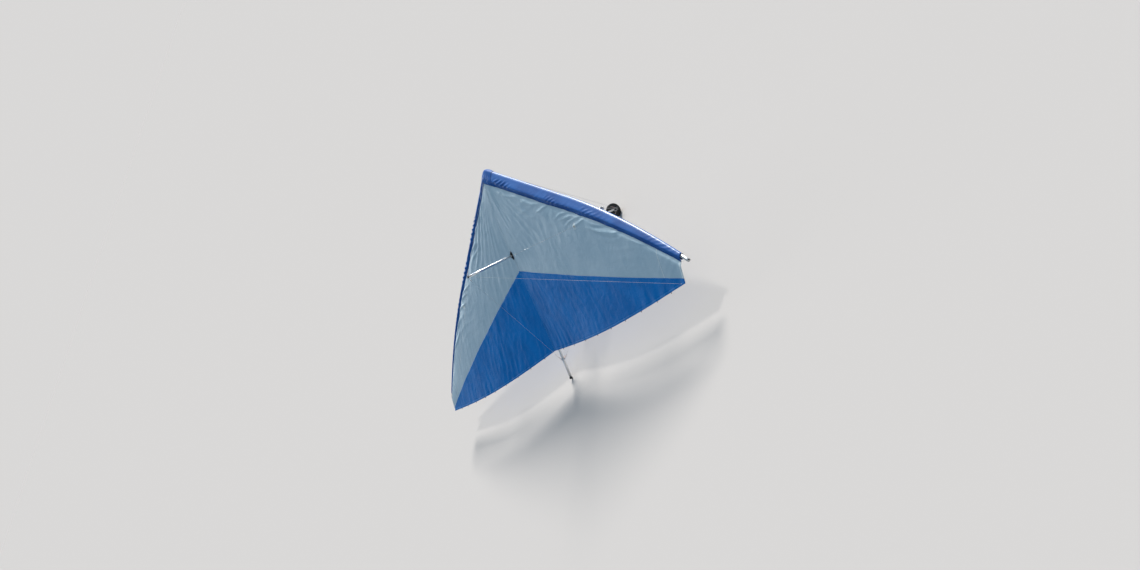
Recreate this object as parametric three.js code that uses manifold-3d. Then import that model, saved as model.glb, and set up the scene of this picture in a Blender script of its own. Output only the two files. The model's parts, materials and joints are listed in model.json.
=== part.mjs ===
// A hang glider with a kingpost, set up and parked on two training wheels and the tail of its keel.
// Units are millimetres. The wing is drawn in its own frame, with the keel along Y (nose at 0, tail at +Y),
// X across the span (+X is the pilot's left) and Z square to the keel. The wing group then pitches nose-up.
import * as THREE from "three";
import { mergeVertices } from "three/addons/utils/BufferGeometryUtils.js";
import Module from "manifold-3d";

const wasm = await Module();
wasm.setup();

// Driving dimensions: the leading edges
const NOSE_HALF_ANGLE = THREE.MathUtils.degToRad(63.4);
const DIHEDRAL = THREE.MathUtils.degToRad(1);
const SPAR_LENGTH = 5900; // nose point to tip end
const SPAR_START = 130; // the tube's end, measured from the nose point
const SPAR_BOLT = 185; // the bolt that holds it in the nose bracket
const SPAR_BOW_START = 2700; // from here on the sail pulls the tube into a bow
const SPAR_BOW = 330; // and its tip end this far aft of the straight line
const SPAR_JOIN = 3900; // where the outboard tube comes out of the inboard one
const SPAR_SLEEVE = 220; // how far it reaches inside
const SPAR_RADIUS = 25;
const OUTBOARD_RADIUS = 22.4;
const TUBE_WALL = 1.6;
const INBOARD_STEPS = 14; // straight pieces that each bowed tube is drawn with
const OUTBOARD_STEPS = 10;

// Driving dimensions: keel and crossbar
const KEEL_RADIUS = 21;
const KEEL_WALL = 2;
const KEEL_FRONT = -5;
const KEEL_BOLT_Y = 40;
const KEEL_LENGTH = 3600;
const TAIL_CAP_RADIUS = 27;
const TAIL_CAP_RIM = 14; // length of the cap's full-width rim
const REAR_TANG_Y = 3290;
const CROSSBAR_RADIUS = 27;
const CROSSBAR_STATION = 3620; // along the leading edge, from the nose
const CROSSBAR_DROP = 62; // crossbar axis below the leading edge's axis
const SADDLE_HALF_LENGTH = 60;
const SADDLE_TOP = 14; // the bracket's saddle ends this far below the leading edge's axis
const HINGE_Y = 1640; // the crossbar's centre hinge, along the keel
const HINGE_Z = 60;
const HINGE_HALF_WIDTH = 54;

// Driving dimensions: control frame, kingpost and wheels
const APEX_Y = 1430;
const APEX_SPREAD = 40; // half the distance between the uprights' tops
const APEX_DEPTH = 68; // underside of the apex block, below the keel's axis
const FRAME_HALF_WIDTH = 740;
const FRAME_HEIGHT = 1560;
const FRAME_RAKE = 50; // the base bar stands this far ahead of the apex
const UPRIGHT_RADIUS = 16;
const UPRIGHT_WALL = 2;
const BASE_BAR_RADIUS = 14;
const KINGPOST_TOP = 975;
const KINGPOST_RAKE = 100; // its top leans this far aft
const KINGPOST_RADIUS = 18;
const KINGPOST_PIN = 34; // from the post's foot up to the pin it folds on
const WHEEL_RADIUS = 125;
const WHEEL_X = 590;
const HUB_HALF_WIDTH = 40;
const CORNER_BOSS = 36; // how far a corner's sleeve reaches up an upright
const BAR_BOSS = 30; // and along the base bar
const LUG_REACH = 25; // from a corner's centre to each of its three lugs

// Driving dimensions: fittings, wires and the hang strap
const PLATE = 4;
const BOLT_RADIUS = 4;
const BOLT_HOLE_RADIUS = 4.4;
const SHANK_RADIUS = 5; // of the bolt through each crossbar end
const EYE = 9; // radius of the ball that a stay ends at
const NOSE_EYE = 13;
const STAY_RADIUS = 2;
const STAY_AIR = 0.4;
const STRAP_AFT = 100; // the hang strap's front edge, behind the apex
const STRAP_WIDTH = 40;
const STRAP_THICKNESS = 3.5;
const STRAP_DROP = 330; // from the keel's axis to the bottom of the loop

// Driving dimensions: the sail
const CLOTH = 3;
const KEEL_CLOTH = 2;
const SAIL_TIP_X = 5010;
const TRAILING_ROOT_Y = 3120;
const TRAILING_TIP_Y = 3200;
const TRAILING_BOW = 95; // the trailing edge bows this far aft of straight
const TRAILING_LIFT = 75; // its height over the leading edge's axis at the root
const TRAILING_TIP_LIFT = 110;
const BILLOW = 135; // and this much more halfway along the span
const CAMBER = 110;
const CAMBER_PEAK = 0.22; // the share of the chord where the sail is highest
const CAMBER_POWER = 2.1;
const CAMBER_FADE = 0.7; // how fast the camber shrinks with the chord
const POCKET_RADIUS = SPAR_RADIUS + 0.85; // inside of the pocket's front, at the nose and the tip
const POCKET_SLACK = 1.6; // and this much more halfway, where the tube is bowed
const POCKET_CHORD = 172;
const POCKET_TIP_CHORD = 58;
const WRAP_STEPS = 12;
const CHEVRON_ROOT_Y = 1735; // the white and blue panels meet on a line from here
const CHEVRON_TIP_Y = 3150; // to here at the tip
const BATTEN_X = [420, 960, 1500, 2040, 2580, 3110, 3640, 4160, 4580];
const BATTEN_RADIUS = 5;
const BATTEN_EDGE = 11; // the cloth lies flat again this far beside a batten
const MAIN_ROWS = 8;
const REAR_ROWS = 6;
const ROW_CROWDING = 1.3; // above 1, rows of points stand closer together at the front
const NOSE_CONE_X = 250; // the nose cone reaches this far from the centre line, and the pockets go on from it
const NOSE_CONE_SWELL = 27; // it stands this far clear of a pocket's line, over the bracket
const NOSE_CONE_ROUND = 25; // and its point is drawn back this far
const NOSE_CONE_SHARES = [0.5, 0.86, 1]; // its rows on each side, as shares of its reach
const KEEL_POCKET_Y = [1980, 2300, 2700, 3060];

const FIT = 0.3; // air left between pieces that touch
const SEAM = 0.8; // and between two panels of cloth

const UP = new THREE.Vector3(0, 1, 0);
const vec = (x, y, z) => new THREE.Vector3(x, y, z);
const lerpPoint = (from, to, t) => from.clone().lerp(to, t);
const mirrored = (point) => vec(-point.x, point.y, point.z);
const { sin, cos, tan, sqrt, pow, min, max, PI } = Math;
const lerp = THREE.MathUtils.lerp;

// Materials
const finish = (color, roughness, metalness = 0) =>
  new THREE.MeshStandardMaterial({ color, roughness, metalness });
const aluminium = finish(0xc3c7cb, 0.35, 1);
const steel = finish(0x9a9da2, 0.3, 1);
const blackPlastic = finish(0x1a1b1d, 0.5);
const rubber = finish(0x161616, 0.85);
const wheelPlastic = finish(0x232325, 0.5);
const whiteCloth = finish(0xd5dde0, 0.7);
const edgeCloth = finish(0x3f62b8, 0.6);
const rearCloth = finish(0x0a63b4, 0.6);
const webbing = finish(0x202226, 0.8);

// Solids: joining and cutting closed geometry
function solid(geometry) {
  const bare = geometry.index ? geometry.toNonIndexed() : geometry.clone();
  bare.deleteAttribute("normal");
  bare.deleteAttribute("uv");
  const merged = mergeVertices(bare, 1e-3);
  return new wasm.Manifold(
    new wasm.Mesh({
      numProp: 3,
      vertProperties: merged.attributes.position.array,
      triVerts: new Uint32Array(merged.index.array),
    }),
  );
}

function geometryOf(manifold) {
  const mesh = manifold.getMesh();
  return new THREE.BufferGeometry()
    .setAttribute("position", new THREE.BufferAttribute(mesh.vertProperties, 3))
    .setIndex(new THREE.BufferAttribute(mesh.triVerts, 1));
}

const join = (...parts) =>
  geometryOf(parts.map(solid).reduce((whole, part) => whole.add(part)));
const cut = (body, ...tools) =>
  geometryOf(
    tools.map(solid).reduce((left, tool) => left.subtract(tool), solid(body)),
  );

// Plain shapes, placed in the frame that they are used in
function rod(from, to, radius, { bore = 0, sides = 16 } = {}) {
  const length = from.distanceTo(to);
  const profile = [[bore, 0], [radius, 0], [radius, length], [bore, length]];
  if (bore) profile.push([bore, 0]);
  return new THREE.LatheGeometry(
    profile.map(([r, y]) => new THREE.Vector2(r, y)),
    sides,
  ).applyMatrix4(
    new THREE.Matrix4().compose(
      from,
      new THREE.Quaternion().setFromUnitVectors(
        UP,
        to.clone().sub(from).normalize(),
      ),
      vec(1, 1, 1),
    ),
  );
}

const box = (low, high) =>
  new THREE.BoxGeometry(high.x - low.x, high.y - low.y, high.z - low.z).translate(
    (low.x + high.x) / 2,
    (low.y + high.y) / 2,
    (low.z + high.z) / 2,
  );
const ball = (centre, radius) =>
  new THREE.SphereGeometry(radius, 10, 6).translate(centre.x, centre.y, centre.z);

function turned(profile, sides = 24) {
  const points = profile.map(([r, x]) => new THREE.Vector2(r, x));
  return new THREE.LatheGeometry(points, sides).rotateZ(-PI / 2);
}

// A cloth panel: rows of points on its outer face, with the inner face one cloth thickness below
function clothPanel(rows, thickness = CLOTH) {
  const last = rows.length - 1;
  const end = rows[0].length - 1;
  const outward = rows.map((row, i) =>
    row.map((_, j) => {
      const along = rows[min(i + 1, last)][j].clone().sub(rows[max(i - 1, 0)][j]);
      const across = row[min(j + 1, end)].clone().sub(row[max(j - 1, 0)]);
      return along.cross(across).normalize();
    }),
  );
  const panel = new THREE.BoxGeometry(1, 1, 1, last, end, 1);
  const place = panel.attributes.position;
  for (let k = 0; k < place.count; k++) {
    const i = Math.round((place.getX(k) + 0.5) * last);
    const j = Math.round((place.getY(k) + 0.5) * end);
    const depth = place.getZ(k) > 0 ? 0 : thickness;
    const point = rows[i][j].clone().addScaledVector(outward[i][j], -depth);
    place.setXYZ(k, point.x, point.y, point.z);
  }
  return panel;
}

// Leading edge: straight at first, then pulled aft into a bow by the sail
function sparPoint(length) {
  const past = max(0, (length - SPAR_BOW_START) / (SPAR_LENGTH - SPAR_BOW_START));
  const bow = SPAR_BOW * past * past;
  const x = length * sin(NOSE_HALF_ANGLE) - bow * cos(NOSE_HALF_ANGLE);
  const y = length * cos(NOSE_HALF_ANGLE) + bow * sin(NOSE_HALF_ANGLE);
  return vec(x, y, x * tan(DIHEDRAL));
}

function sparAt(x) {
  let length = x / sin(NOSE_HALF_ANGLE);
  for (let pass = 0; pass < 6; pass++)
    length += (x - sparPoint(length).x) / sin(NOSE_HALF_ANGLE);
  return sparPoint(length);
}

class SparLine extends THREE.Curve {
  constructor(from, to) {
    super();
    this.ends = [from, to];
  }

  getPoint(t) {
    return sparPoint(lerp(...this.ends, t));
  }
}

// A round bar, or a tube when it has a bore, that follows the leading edge's bow
function alongSpar(from, to, steps, radius, bore = 0) {
  const ring = new THREE.Shape().absarc(0, 0, radius, 0, 2 * PI);
  if (bore) ring.holes.push(new THREE.Path().absarc(0, 0, bore, 0, 2 * PI, true));
  return new THREE.ExtrudeGeometry(ring, {
    steps,
    curveSegments: 10,
    extrudePath: new SparLine(from, to),
  });
}

// The sail's upper surface, as heights over the plan
const rawCamber = (share) =>
  pow(share, CAMBER_POWER * CAMBER_PEAK) *
  pow(1 - share, CAMBER_POWER * (1 - CAMBER_PEAK));
const camberShape = (share) =>
  rawCamber(min(1, max(0, share))) / rawCamber(CAMBER_PEAK);
const trailingY = (x) =>
  lerp(TRAILING_ROOT_Y, TRAILING_TIP_Y, x / SAIL_TIP_X) +
  TRAILING_BOW * sin((PI * x) / SAIL_TIP_X);
const chevronY = (x) => lerp(CHEVRON_ROOT_Y, CHEVRON_TIP_Y, x / SAIL_TIP_X);
const pocketChord = (x) =>
  lerp(POCKET_CHORD, POCKET_TIP_CHORD, pow(x / SAIL_TIP_X, 3));
const seamAt = (x) => sparAt(x).y + pocketChord(x);
const STATIONS = [0, NOSE_CONE_X, ...BATTEN_X, SAIL_TIP_X];

// The seam is straight from one station to the next, so the cloth on its two sides meets
function pocketSeamY(x) {
  const next = min(
    STATIONS.length - 1,
    max(1, STATIONS.findIndex((station) => station >= x)),
  );
  const [from, to] = [STATIONS[next - 1], STATIONS[next]];
  return lerp(seamAt(from), seamAt(to), (x - from) / (to - from));
}

const pocketRadius = (x) =>
  POCKET_RADIUS + POCKET_SLACK * pow(sin((PI * x) / SAIL_TIP_X), 2);
const battenLift = (x) =>
  BATTEN_X.some((at) => Math.abs(x - at) < 1) ? BATTEN_RADIUS : 0;

function sailHeight(x, y) {
  const spar = sparAt(x);
  const chord = trailingY(x) - spar.y;
  const share = (y - spar.y) / chord;
  const front = spar.z + pocketRadius(x) + CLOTH;
  const rear =
    spar.z +
    lerp(TRAILING_LIFT, TRAILING_TIP_LIFT, x / SAIL_TIP_X) +
    BILLOW * sin((PI * x) / SAIL_TIP_X);
  return (
    lerp(front, rear, share) +
    CAMBER * pow(chord / TRAILING_ROOT_Y, CAMBER_FADE) * camberShape(share)
  );
}

const sailPoint = (x, y) => vec(x, y, sailHeight(x, y));

// Columns across the span: one each side of every batten and one on it
const columns = () => [
  FIT,
  ...NOSE_CONE_SHARES.map((share) => share * NOSE_CONE_X),
  ...BATTEN_X.flatMap((at) => [at - BATTEN_EDGE, at, at + BATTEN_EDGE]),
  SAIL_TIP_X,
];

function sailPanel(frontY, rearY, rowCount) {
  const rows = columns().map((x) =>
    Array.from({ length: rowCount + 1 }, (_, j) => {
      const share = pow(j / rowCount, ROW_CROWDING);
      const point = sailPoint(x, lerp(frontY(x), rearY(x), share));
      return point.setZ(point.z + battenLift(x));
    }),
  );
  return clothPanel(rows);
}

// Points round a leading edge, from the line that leaves its underside to the line that leaves its top
function wrap(centre, radius, stretch, top, bottom) {
  const tangent = (point, side) => {
    const ahead = -(point.y - centre.y) / stretch;
    const over = point.z - centre.z;
    // Counted from the front to the point, over the top for side 1 and underneath for side -1
    const turn = (Math.atan2(side * over, ahead) + 2 * PI) % (2 * PI);
    return side * (turn - Math.acos(radius / Math.hypot(ahead, over)));
  };
  const [from, to] = [tangent(bottom, -1), tangent(top, 1)];
  return Array.from({ length: WRAP_STEPS + 1 }, (_, k) => {
    const turn = lerp(from, to, k / WRAP_STEPS);
    return vec(
      top.x,
      centre.y - radius * stretch * cos(turn),
      centre.z + radius * sin(turn),
    );
  });
}

// The pocket: from its seam under the sail forward, round the tube and back to the seam on top
function pocketRow(x) {
  const spar = sparAt(x);
  const radius = pocketRadius(x) + CLOTH;
  const stretch = 1 / sparAt(x + 1).sub(spar).normalize().x;
  const seam = sailPoint(x, pocketSeamY(x) - SEAM);
  const ahead = sailPoint(x, lerp(spar.y, seam.y, 0.55));
  const back = seam.z - 2 * CLOTH - 2;
  const under = vec(
    x,
    lerp(spar.y, seam.y, 0.7),
    lerp(spar.z - radius, back, 0.45),
  );
  return [
    vec(x, seam.y - 12, back),
    under,
    ...wrap(spar, radius, stretch, ahead, under),
    ahead,
    seam,
  ];
}

// One row at every station, and one halfway to the next, where the tube is bowed
const pocketRows = () =>
  STATIONS.slice(1)
    .flatMap((x, i, all) => (i ? [(all[i - 1] + x) / 2, x] : [x]))
    .map(pocketRow);

// Where things meet
const wing = new THREE.Group();
const corner = vec(FRAME_HALF_WIDTH, APEX_Y - FRAME_RAKE, -FRAME_HEIGHT);
const lugToward = (target) =>
  corner.clone().addScaledVector(target.clone().sub(corner).normalize(), LUG_REACH);
const apexTop = vec(APEX_SPREAD, APEX_Y, -APEX_DEPTH);
const kingpostFoot = vec(0, APEX_Y, KEEL_RADIUS + 6);
const kingpostHead = vec(0, APEX_Y + KINGPOST_RAKE, KINGPOST_TOP);
const clampCentre = sparPoint(CROSSBAR_STATION);
const crossbarEnd = clampCentre.clone().add(vec(10, 0, -CROSSBAR_DROP));
const eyes = {
  noseTop: vec(0, 48, 42),
  noseBottom: vec(22, 30, -38),
  tailTop: vec(0, REAR_TANG_Y, KEEL_RADIUS + 11),
  tailBottom: vec(16, REAR_TANG_Y, -KEEL_RADIUS - 6),
  junction: crossbarEnd.clone().add(vec(-60, 62, -8)),
  junctionLow: crossbarEnd.clone().add(vec(-15, 0, -CROSSBAR_RADIUS - 14)),
};

function add(name, geometry, material) {
  const mesh = new THREE.Mesh(geometry, material);
  mesh.name = name;
  wing.add(mesh);
  return mesh;
}

// The pilot's left piece is drawn, and the right one is its mirror image
function addPair(name, geometry, material) {
  add(name + "_left", geometry, material);
  add(name + "_right", geometry, material).scale.x = -1;
}

// Keel and its fittings
const boltHole = (x, y) =>
  rod(vec(x, y, -60), vec(x, y, 60), BOLT_HOLE_RADIUS, { sides: 10 });

function addKeel() {
  const tube = rod(vec(0, KEEL_FRONT, 0), vec(0, KEEL_LENGTH, 0), KEEL_RADIUS, {
    bore: KEEL_RADIUS - KEEL_WALL,
  });
  add("keel_tube", cut(tube, boltHole(0, KEEL_BOLT_Y)), aluminium);

  const plug = KEEL_RADIUS - KEEL_WALL - 3 * FIT;
  const capProfile = [
    [0, -30],
    [plug, -30],
    [plug, FIT],
    [TAIL_CAP_RADIUS, FIT],
    [TAIL_CAP_RADIUS, TAIL_CAP_RIM],
    [22, TAIL_CAP_RIM + 12],
    [12, TAIL_CAP_RIM + 20],
    [0, TAIL_CAP_RIM + 20],
  ];
  const cap = new THREE.LatheGeometry(
    capProfile.map(([r, y]) => new THREE.Vector2(r, y)),
    24,
  ).translate(0, KEEL_LENGTH, 0);
  add("keel_tail_cap", cap, blackPlastic);

  const collar = rod(
    vec(0, REAR_TANG_Y - 18, 0),
    vec(0, REAR_TANG_Y + 18, 0),
    KEEL_RADIUS + 5,
    { bore: KEEL_RADIUS + FIT },
  );
  add(
    "rear_wire_collar",
    cut(
      join(
        collar,
        ball(eyes.tailTop, EYE),
        ball(eyes.tailBottom, EYE),
        ball(mirrored(eyes.tailBottom), EYE),
      ),
      rod(vec(0, REAR_TANG_Y - 40, 0), vec(0, REAR_TANG_Y + 40, 0), KEEL_RADIUS + FIT),
    ),
    steel,
  );
}

function addNoseBracket() {
  const outline = new THREE.Shape();
  outline.moveTo(-34, 2);
  outline.lineTo(34, 2);
  outline.lineTo(215, 86);
  outline.lineTo(195, 122);
  outline.lineTo(0, 92);
  outline.lineTo(-195, 122);
  outline.lineTo(-215, 86);
  outline.closePath();
  const plate = (z) =>
    new THREE.ExtrudeGeometry(outline, {
      depth: PLATE,
      bevelEnabled: false,
    }).translate(0, 0, z);
  const sparBolt = sparPoint(SPAR_BOLT);
  const top = sparPoint(SPAR_BOLT + 65).z + SPAR_RADIUS + FIT;
  const bottom = -SPAR_RADIUS - FIT;
  const bolts = [
    vec(0, KEEL_BOLT_Y, 0),
    sparBolt,
    vec(-sparBolt.x, sparBolt.y, 0),
  ].map(({ x, y }) =>
    rod(vec(x, y, bottom - 7), vec(x, y, top + 7), BOLT_RADIUS, { sides: 10 }),
  );
  add(
    "nose_bracket",
    join(
      plate(top),
      plate(bottom - PLATE),
      ...bolts,
      ball(eyes.noseTop, NOSE_EYE),
      ball(eyes.noseBottom, NOSE_EYE),
      ball(mirrored(eyes.noseBottom), NOSE_EYE),
    ),
    steel,
  );
}

// Leading edges
const inboardBar = (radius, bore) =>
  alongSpar(SPAR_START, SPAR_JOIN, INBOARD_STEPS, radius, bore);

function addSpars() {
  const inboard = inboardBar(SPAR_RADIUS, SPAR_RADIUS - TUBE_WALL);
  const bolt = sparPoint(SPAR_BOLT);
  addPair("leading_edge_inboard", cut(inboard, boltHole(bolt.x, bolt.y)), aluminium);

  const outboard = alongSpar(
    SPAR_JOIN - SPAR_SLEEVE,
    SPAR_LENGTH,
    OUTBOARD_STEPS,
    OUTBOARD_RADIUS,
    OUTBOARD_RADIUS - TUBE_WALL,
  );
  addPair("leading_edge_outboard", outboard, aluminium);

  const end = sparPoint(SPAR_LENGTH);
  const along = end.clone().sub(sparPoint(SPAR_LENGTH - 60)).normalize();
  const at = (distance) => end.clone().addScaledVector(along, distance);
  const plug = join(
    rod(at(-40), at(3), OUTBOARD_RADIUS - TUBE_WALL - 1.2, { sides: 12 }),
    rod(at(1.2), at(9), OUTBOARD_RADIUS, { sides: 16 }),
  );
  addPair("tip_plug", plug, blackPlastic);
}

// Crossbar: two tubes on a centre hinge, each bracketed to a leading edge at its outer end
function addCrossbar() {
  const start = vec(HINGE_HALF_WIDTH + 4, HINGE_Y, HINGE_Z);
  const outward = crossbarEnd.clone().sub(start).normalize();
  const from = (distance) => start.clone().addScaledVector(outward, distance);
  const bore = CROSSBAR_RADIUS - TUBE_WALL;
  const bar = rod(start, crossbarEnd, CROSSBAR_RADIUS, { bore, sides: 18 });
  const cross = crossbarEnd.clone().add(vec(-40, 0, 0));
  const upright = (reach, radius) =>
    rod(
      vec(cross.x, cross.y, cross.z - reach),
      vec(cross.x, cross.y, cross.z + reach),
      radius,
      { sides: 10 },
    );
  addPair("crossbar", cut(bar, upright(45, SHANK_RADIUS + 0.4)), aluminium);

  const block = box(
    vec(-HINGE_HALF_WIDTH, HINGE_Y - 32, KEEL_RADIUS + FIT),
    vec(HINGE_HALF_WIDTH, HINGE_Y + 32, HINGE_Z + 32),
  );
  const tongue = [from(-8), from(50)];
  const tongues = [tongue, tongue.map(mirrored)].map(([inner, outer]) =>
    rod(inner, outer, bore - 0.8, { sides: 18 }),
  );
  add("crossbar_hinge", join(block, ...tongues), blackPlastic);

  const along = sparPoint(CROSSBAR_STATION + 50)
    .sub(sparPoint(CROSSBAR_STATION - 50))
    .normalize();
  const saddle = rod(
    clampCentre.clone().addScaledVector(along, -SADDLE_HALF_LENGTH),
    clampCentre.clone().addScaledVector(along, SADDLE_HALF_LENGTH),
    SPAR_RADIUS + 5,
    { sides: 18 },
  );
  const above = box(
    vec(cross.x - 120, cross.y - 120, clampCentre.z - SADDLE_TOP),
    vec(cross.x + 120, cross.y + 120, clampCentre.z + 60),
  );
  const topOfBar = cross.z + CROSSBAR_RADIUS + 2;
  const underBar = cross.z - CROSSBAR_RADIUS - 1.5;
  const earTop = box(
    vec(cross.x - 34, cross.y - 26, topOfBar),
    vec(cross.x + 52, cross.y + 26, clampCentre.z - SPAR_RADIUS - 1),
  );
  const earBottom = box(
    vec(cross.x - 30, cross.y - 22, underBar - PLATE),
    vec(cross.x + 40, cross.y + 22, underBar),
  );
  eyes.junction.set(cross.x - 20, eyes.junction.y, topOfBar + PLATE / 2);
  eyes.junctionLow.set(cross.x + 5, cross.y, underBar - PLATE - EYE);
  const sideArm = box(
    vec(cross.x - 26, cross.y + 20, topOfBar),
    vec(cross.x - 14, eyes.junction.y, topOfBar + PLATE),
  );
  addPair(
    "crossbar_bracket",
    cut(
      join(
        saddle,
        upright(CROSSBAR_RADIUS + 12, SHANK_RADIUS),
        earTop,
        earBottom,
        sideArm,
        ball(eyes.junction, EYE),
        ball(eyes.junctionLow, EYE),
      ),
      inboardBar(SPAR_RADIUS + FIT),
      above,
    ),
    steel,
  );
}

// Kingpost
function addKingpost() {
  const axis = kingpostHead.clone().sub(kingpostFoot).normalize();
  const up = (d) => kingpostFoot.clone().addScaledVector(axis, d);
  const length = kingpostFoot.distanceTo(kingpostHead);
  const post = rod(kingpostFoot, kingpostHead, KINGPOST_RADIUS, {
    bore: KINGPOST_RADIUS - TUBE_WALL,
  });
  const pinAt = up(KINGPOST_PIN);
  const acrossPin = (reach, radius) =>
    rod(vec(-reach, pinAt.y, pinAt.z), vec(reach, pinAt.y, pinAt.z), radius, {
      sides: 10,
    });
  add("kingpost", cut(post, acrossPin(60, BOLT_HOLE_RADIUS)), aluminium);

  const inside = KINGPOST_RADIUS + 2 * FIT;
  const outside = inside + PLATE;
  const ear = (from, to) =>
    box(
      vec(from, APEX_Y - 20, KEEL_RADIUS + FIT),
      vec(to, APEX_Y + 24, pinAt.z + 16),
    );
  add(
    "kingpost_base",
    join(
      box(
        vec(-outside, APEX_Y - 34, KEEL_RADIUS + FIT),
        vec(outside, APEX_Y + 38, KEEL_RADIUS + PLATE),
      ),
      ear(inside, outside),
      ear(-outside, -inside),
      acrossPin(outside + 5, BOLT_RADIUS),
    ),
    steel,
  );

  const top = up(length);
  const capped = [
    rod(up(length - 30), up(length + 4), KINGPOST_RADIUS - TUBE_WALL - 0.6),
    rod(up(length + FIT), up(length + 20), KINGPOST_RADIUS + 3),
  ];
  const ring = [
    vec(0, -24, 10),
    vec(0, 24, 10),
    vec(24, 0, 10),
    vec(-24, 0, 10),
  ].map((offset) => top.clone().add(offset));
  [eyes.headFront, eyes.headRear, eyes.headLeft, eyes.headRight] = ring;
  add(
    "kingpost_head",
    join(...capped, ...ring.map((centre) => ball(centre, EYE))),
    blackPlastic,
  );
}

// Control frame: the apex, two uprights and the base bar between two corners
function addControlFrame() {
  const down = corner.clone().sub(apexTop).normalize();
  const along = (d) => apexTop.clone().addScaledVector(down, d);
  const length = apexTop.distanceTo(corner);
  const bore = UPRIGHT_RADIUS - UPRIGHT_WALL;
  const plug = bore - 0.5;
  const upright = rod(along(12), along(length - CORNER_BOSS), UPRIGHT_RADIUS, {
    bore,
  });
  addPair("upright", upright, aluminium);

  const tongue = rod(along(-14), along(70), plug, { sides: 12 });
  const otherTongue = rod(mirrored(along(-14)), mirrored(along(70)), plug, {
    sides: 12,
  });
  add(
    "apex_bracket",
    join(
      box(
        vec(-66, APEX_Y - 26, -APEX_DEPTH),
        vec(66, APEX_Y + 26, -KEEL_RADIUS - FIT),
      ),
      tongue,
      otherTongue,
    ),
    blackPlastic,
  );

  const barPlug = rod(
    vec(corner.x - 90, corner.y, corner.z),
    corner,
    BASE_BAR_RADIUS - UPRIGHT_WALL - 0.5,
    { sides: 12 },
  );
  const lugs = [eyes.noseBottom, eyes.tailBottom, eyes.junctionLow].map((eye) =>
    ball(lugToward(eye), EYE),
  );
  addPair(
    "corner_bracket",
    join(
      ball(corner, 20),
      rod(along(length - 90), corner, plug, { sides: 12 }),
      rod(along(length - CORNER_BOSS + FIT), corner, UPRIGHT_RADIUS + 2, { sides: 12 }),
      rod(vec(corner.x - BAR_BOSS + FIT, corner.y, corner.z), corner, BASE_BAR_RADIUS + 3, {
        sides: 12,
      }),
      barPlug,
      ...lugs,
    ),
    blackPlastic,
  );

  // The base bar's collars keep each wheel in its place
  const barEnd = corner.x - BAR_BOSS;
  const barBore = BASE_BAR_RADIUS - UPRIGHT_WALL;
  const collar = BASE_BAR_RADIUS + 7;
  const near = HUB_HALF_WIDTH + 1;
  const far = near + 14;
  const half = [
    [BASE_BAR_RADIUS, WHEEL_X - far],
    [collar, WHEEL_X - far],
    [collar, WHEEL_X - near],
    [BASE_BAR_RADIUS, WHEEL_X - near],
    [BASE_BAR_RADIUS, WHEEL_X + near],
    [collar, WHEEL_X + near],
    [collar, WHEEL_X + far],
    [BASE_BAR_RADIUS, WHEEL_X + far],
    [BASE_BAR_RADIUS, barEnd],
    [barBore, barEnd],
  ];
  const otherHalf = half.map(([r, x]) => [r, -x]).reverse();
  const bar = turned([...otherHalf, ...half, otherHalf[0]], 16);
  bar.translate(0, corner.y, corner.z);
  add("base_bar", bar, aluminium);
}

// Training wheels, drawn on the X axis and then put on the base bar
function addWheels() {
  const hubBore = BASE_BAR_RADIUS + 0.5;
  const rimRadius = WHEEL_RADIUS - 34;
  const rim = [
    [hubBore, -HUB_HALF_WIDTH],
    [28, -HUB_HALF_WIDTH],
    [32, -16],
    [rimRadius - 12, -12],
    [rimRadius - 6, -26],
    [rimRadius, -26],
    [rimRadius, 26],
    [rimRadius - 6, 26],
    [rimRadius - 12, 12],
    [32, 16],
    [28, HUB_HALF_WIDTH],
    [hubBore, HUB_HALF_WIDTH],
    [hubBore, -HUB_HALF_WIDTH],
  ];
  const seat = rimRadius + FIT;
  const tyre = [
    [seat, -24],
    [WHEEL_RADIUS - 20, -31],
    [WHEEL_RADIUS - 6, -26],
    [WHEEL_RADIUS, -12],
    [WHEEL_RADIUS, 12],
    [WHEEL_RADIUS - 6, 26],
    [WHEEL_RADIUS - 20, 31],
    [seat, 24],
    [seat, -24],
  ];
  for (const [side, name] of [[1, "left"], [-1, "right"]]) {
    for (const [part, profile, material] of [
      ["wheel", rim, wheelPlastic],
      ["tyre", tyre, rubber],
    ]) {
      const mesh = add(`${part}_${name}`, turned(profile), material);
      mesh.position.set(side * WHEEL_X, corner.y, corner.z);
    }
  }
}

// Stays: straight wires between the eyes
function wire(from, to, trimFrom = EYE, trimTo = EYE) {
  const way = to.clone().sub(from).normalize();
  return rod(
    from.clone().addScaledVector(way, trimFrom + STAY_AIR),
    to.clone().addScaledVector(way, -trimTo - STAY_AIR),
    STAY_RADIUS,
    { sides: 8 },
  );
}

function addStays() {
  const low = (target, trim) => wire(lugToward(target), target, EYE, trim);
  addPair("stay_lower_front", low(eyes.noseBottom, NOSE_EYE), steel);
  addPair("stay_lower_rear", low(eyes.tailBottom, EYE), steel);
  addPair("stay_lower_side", low(eyes.junctionLow, EYE), steel);
  addPair("stay_upper_side", wire(eyes.headLeft, eyes.junction), steel);
  add("stay_upper_front", wire(eyes.headFront, eyes.noseTop, EYE, NOSE_EYE), steel);
  add("stay_upper_rear", wire(eyes.headRear, eyes.tailTop), steel);
}

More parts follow.
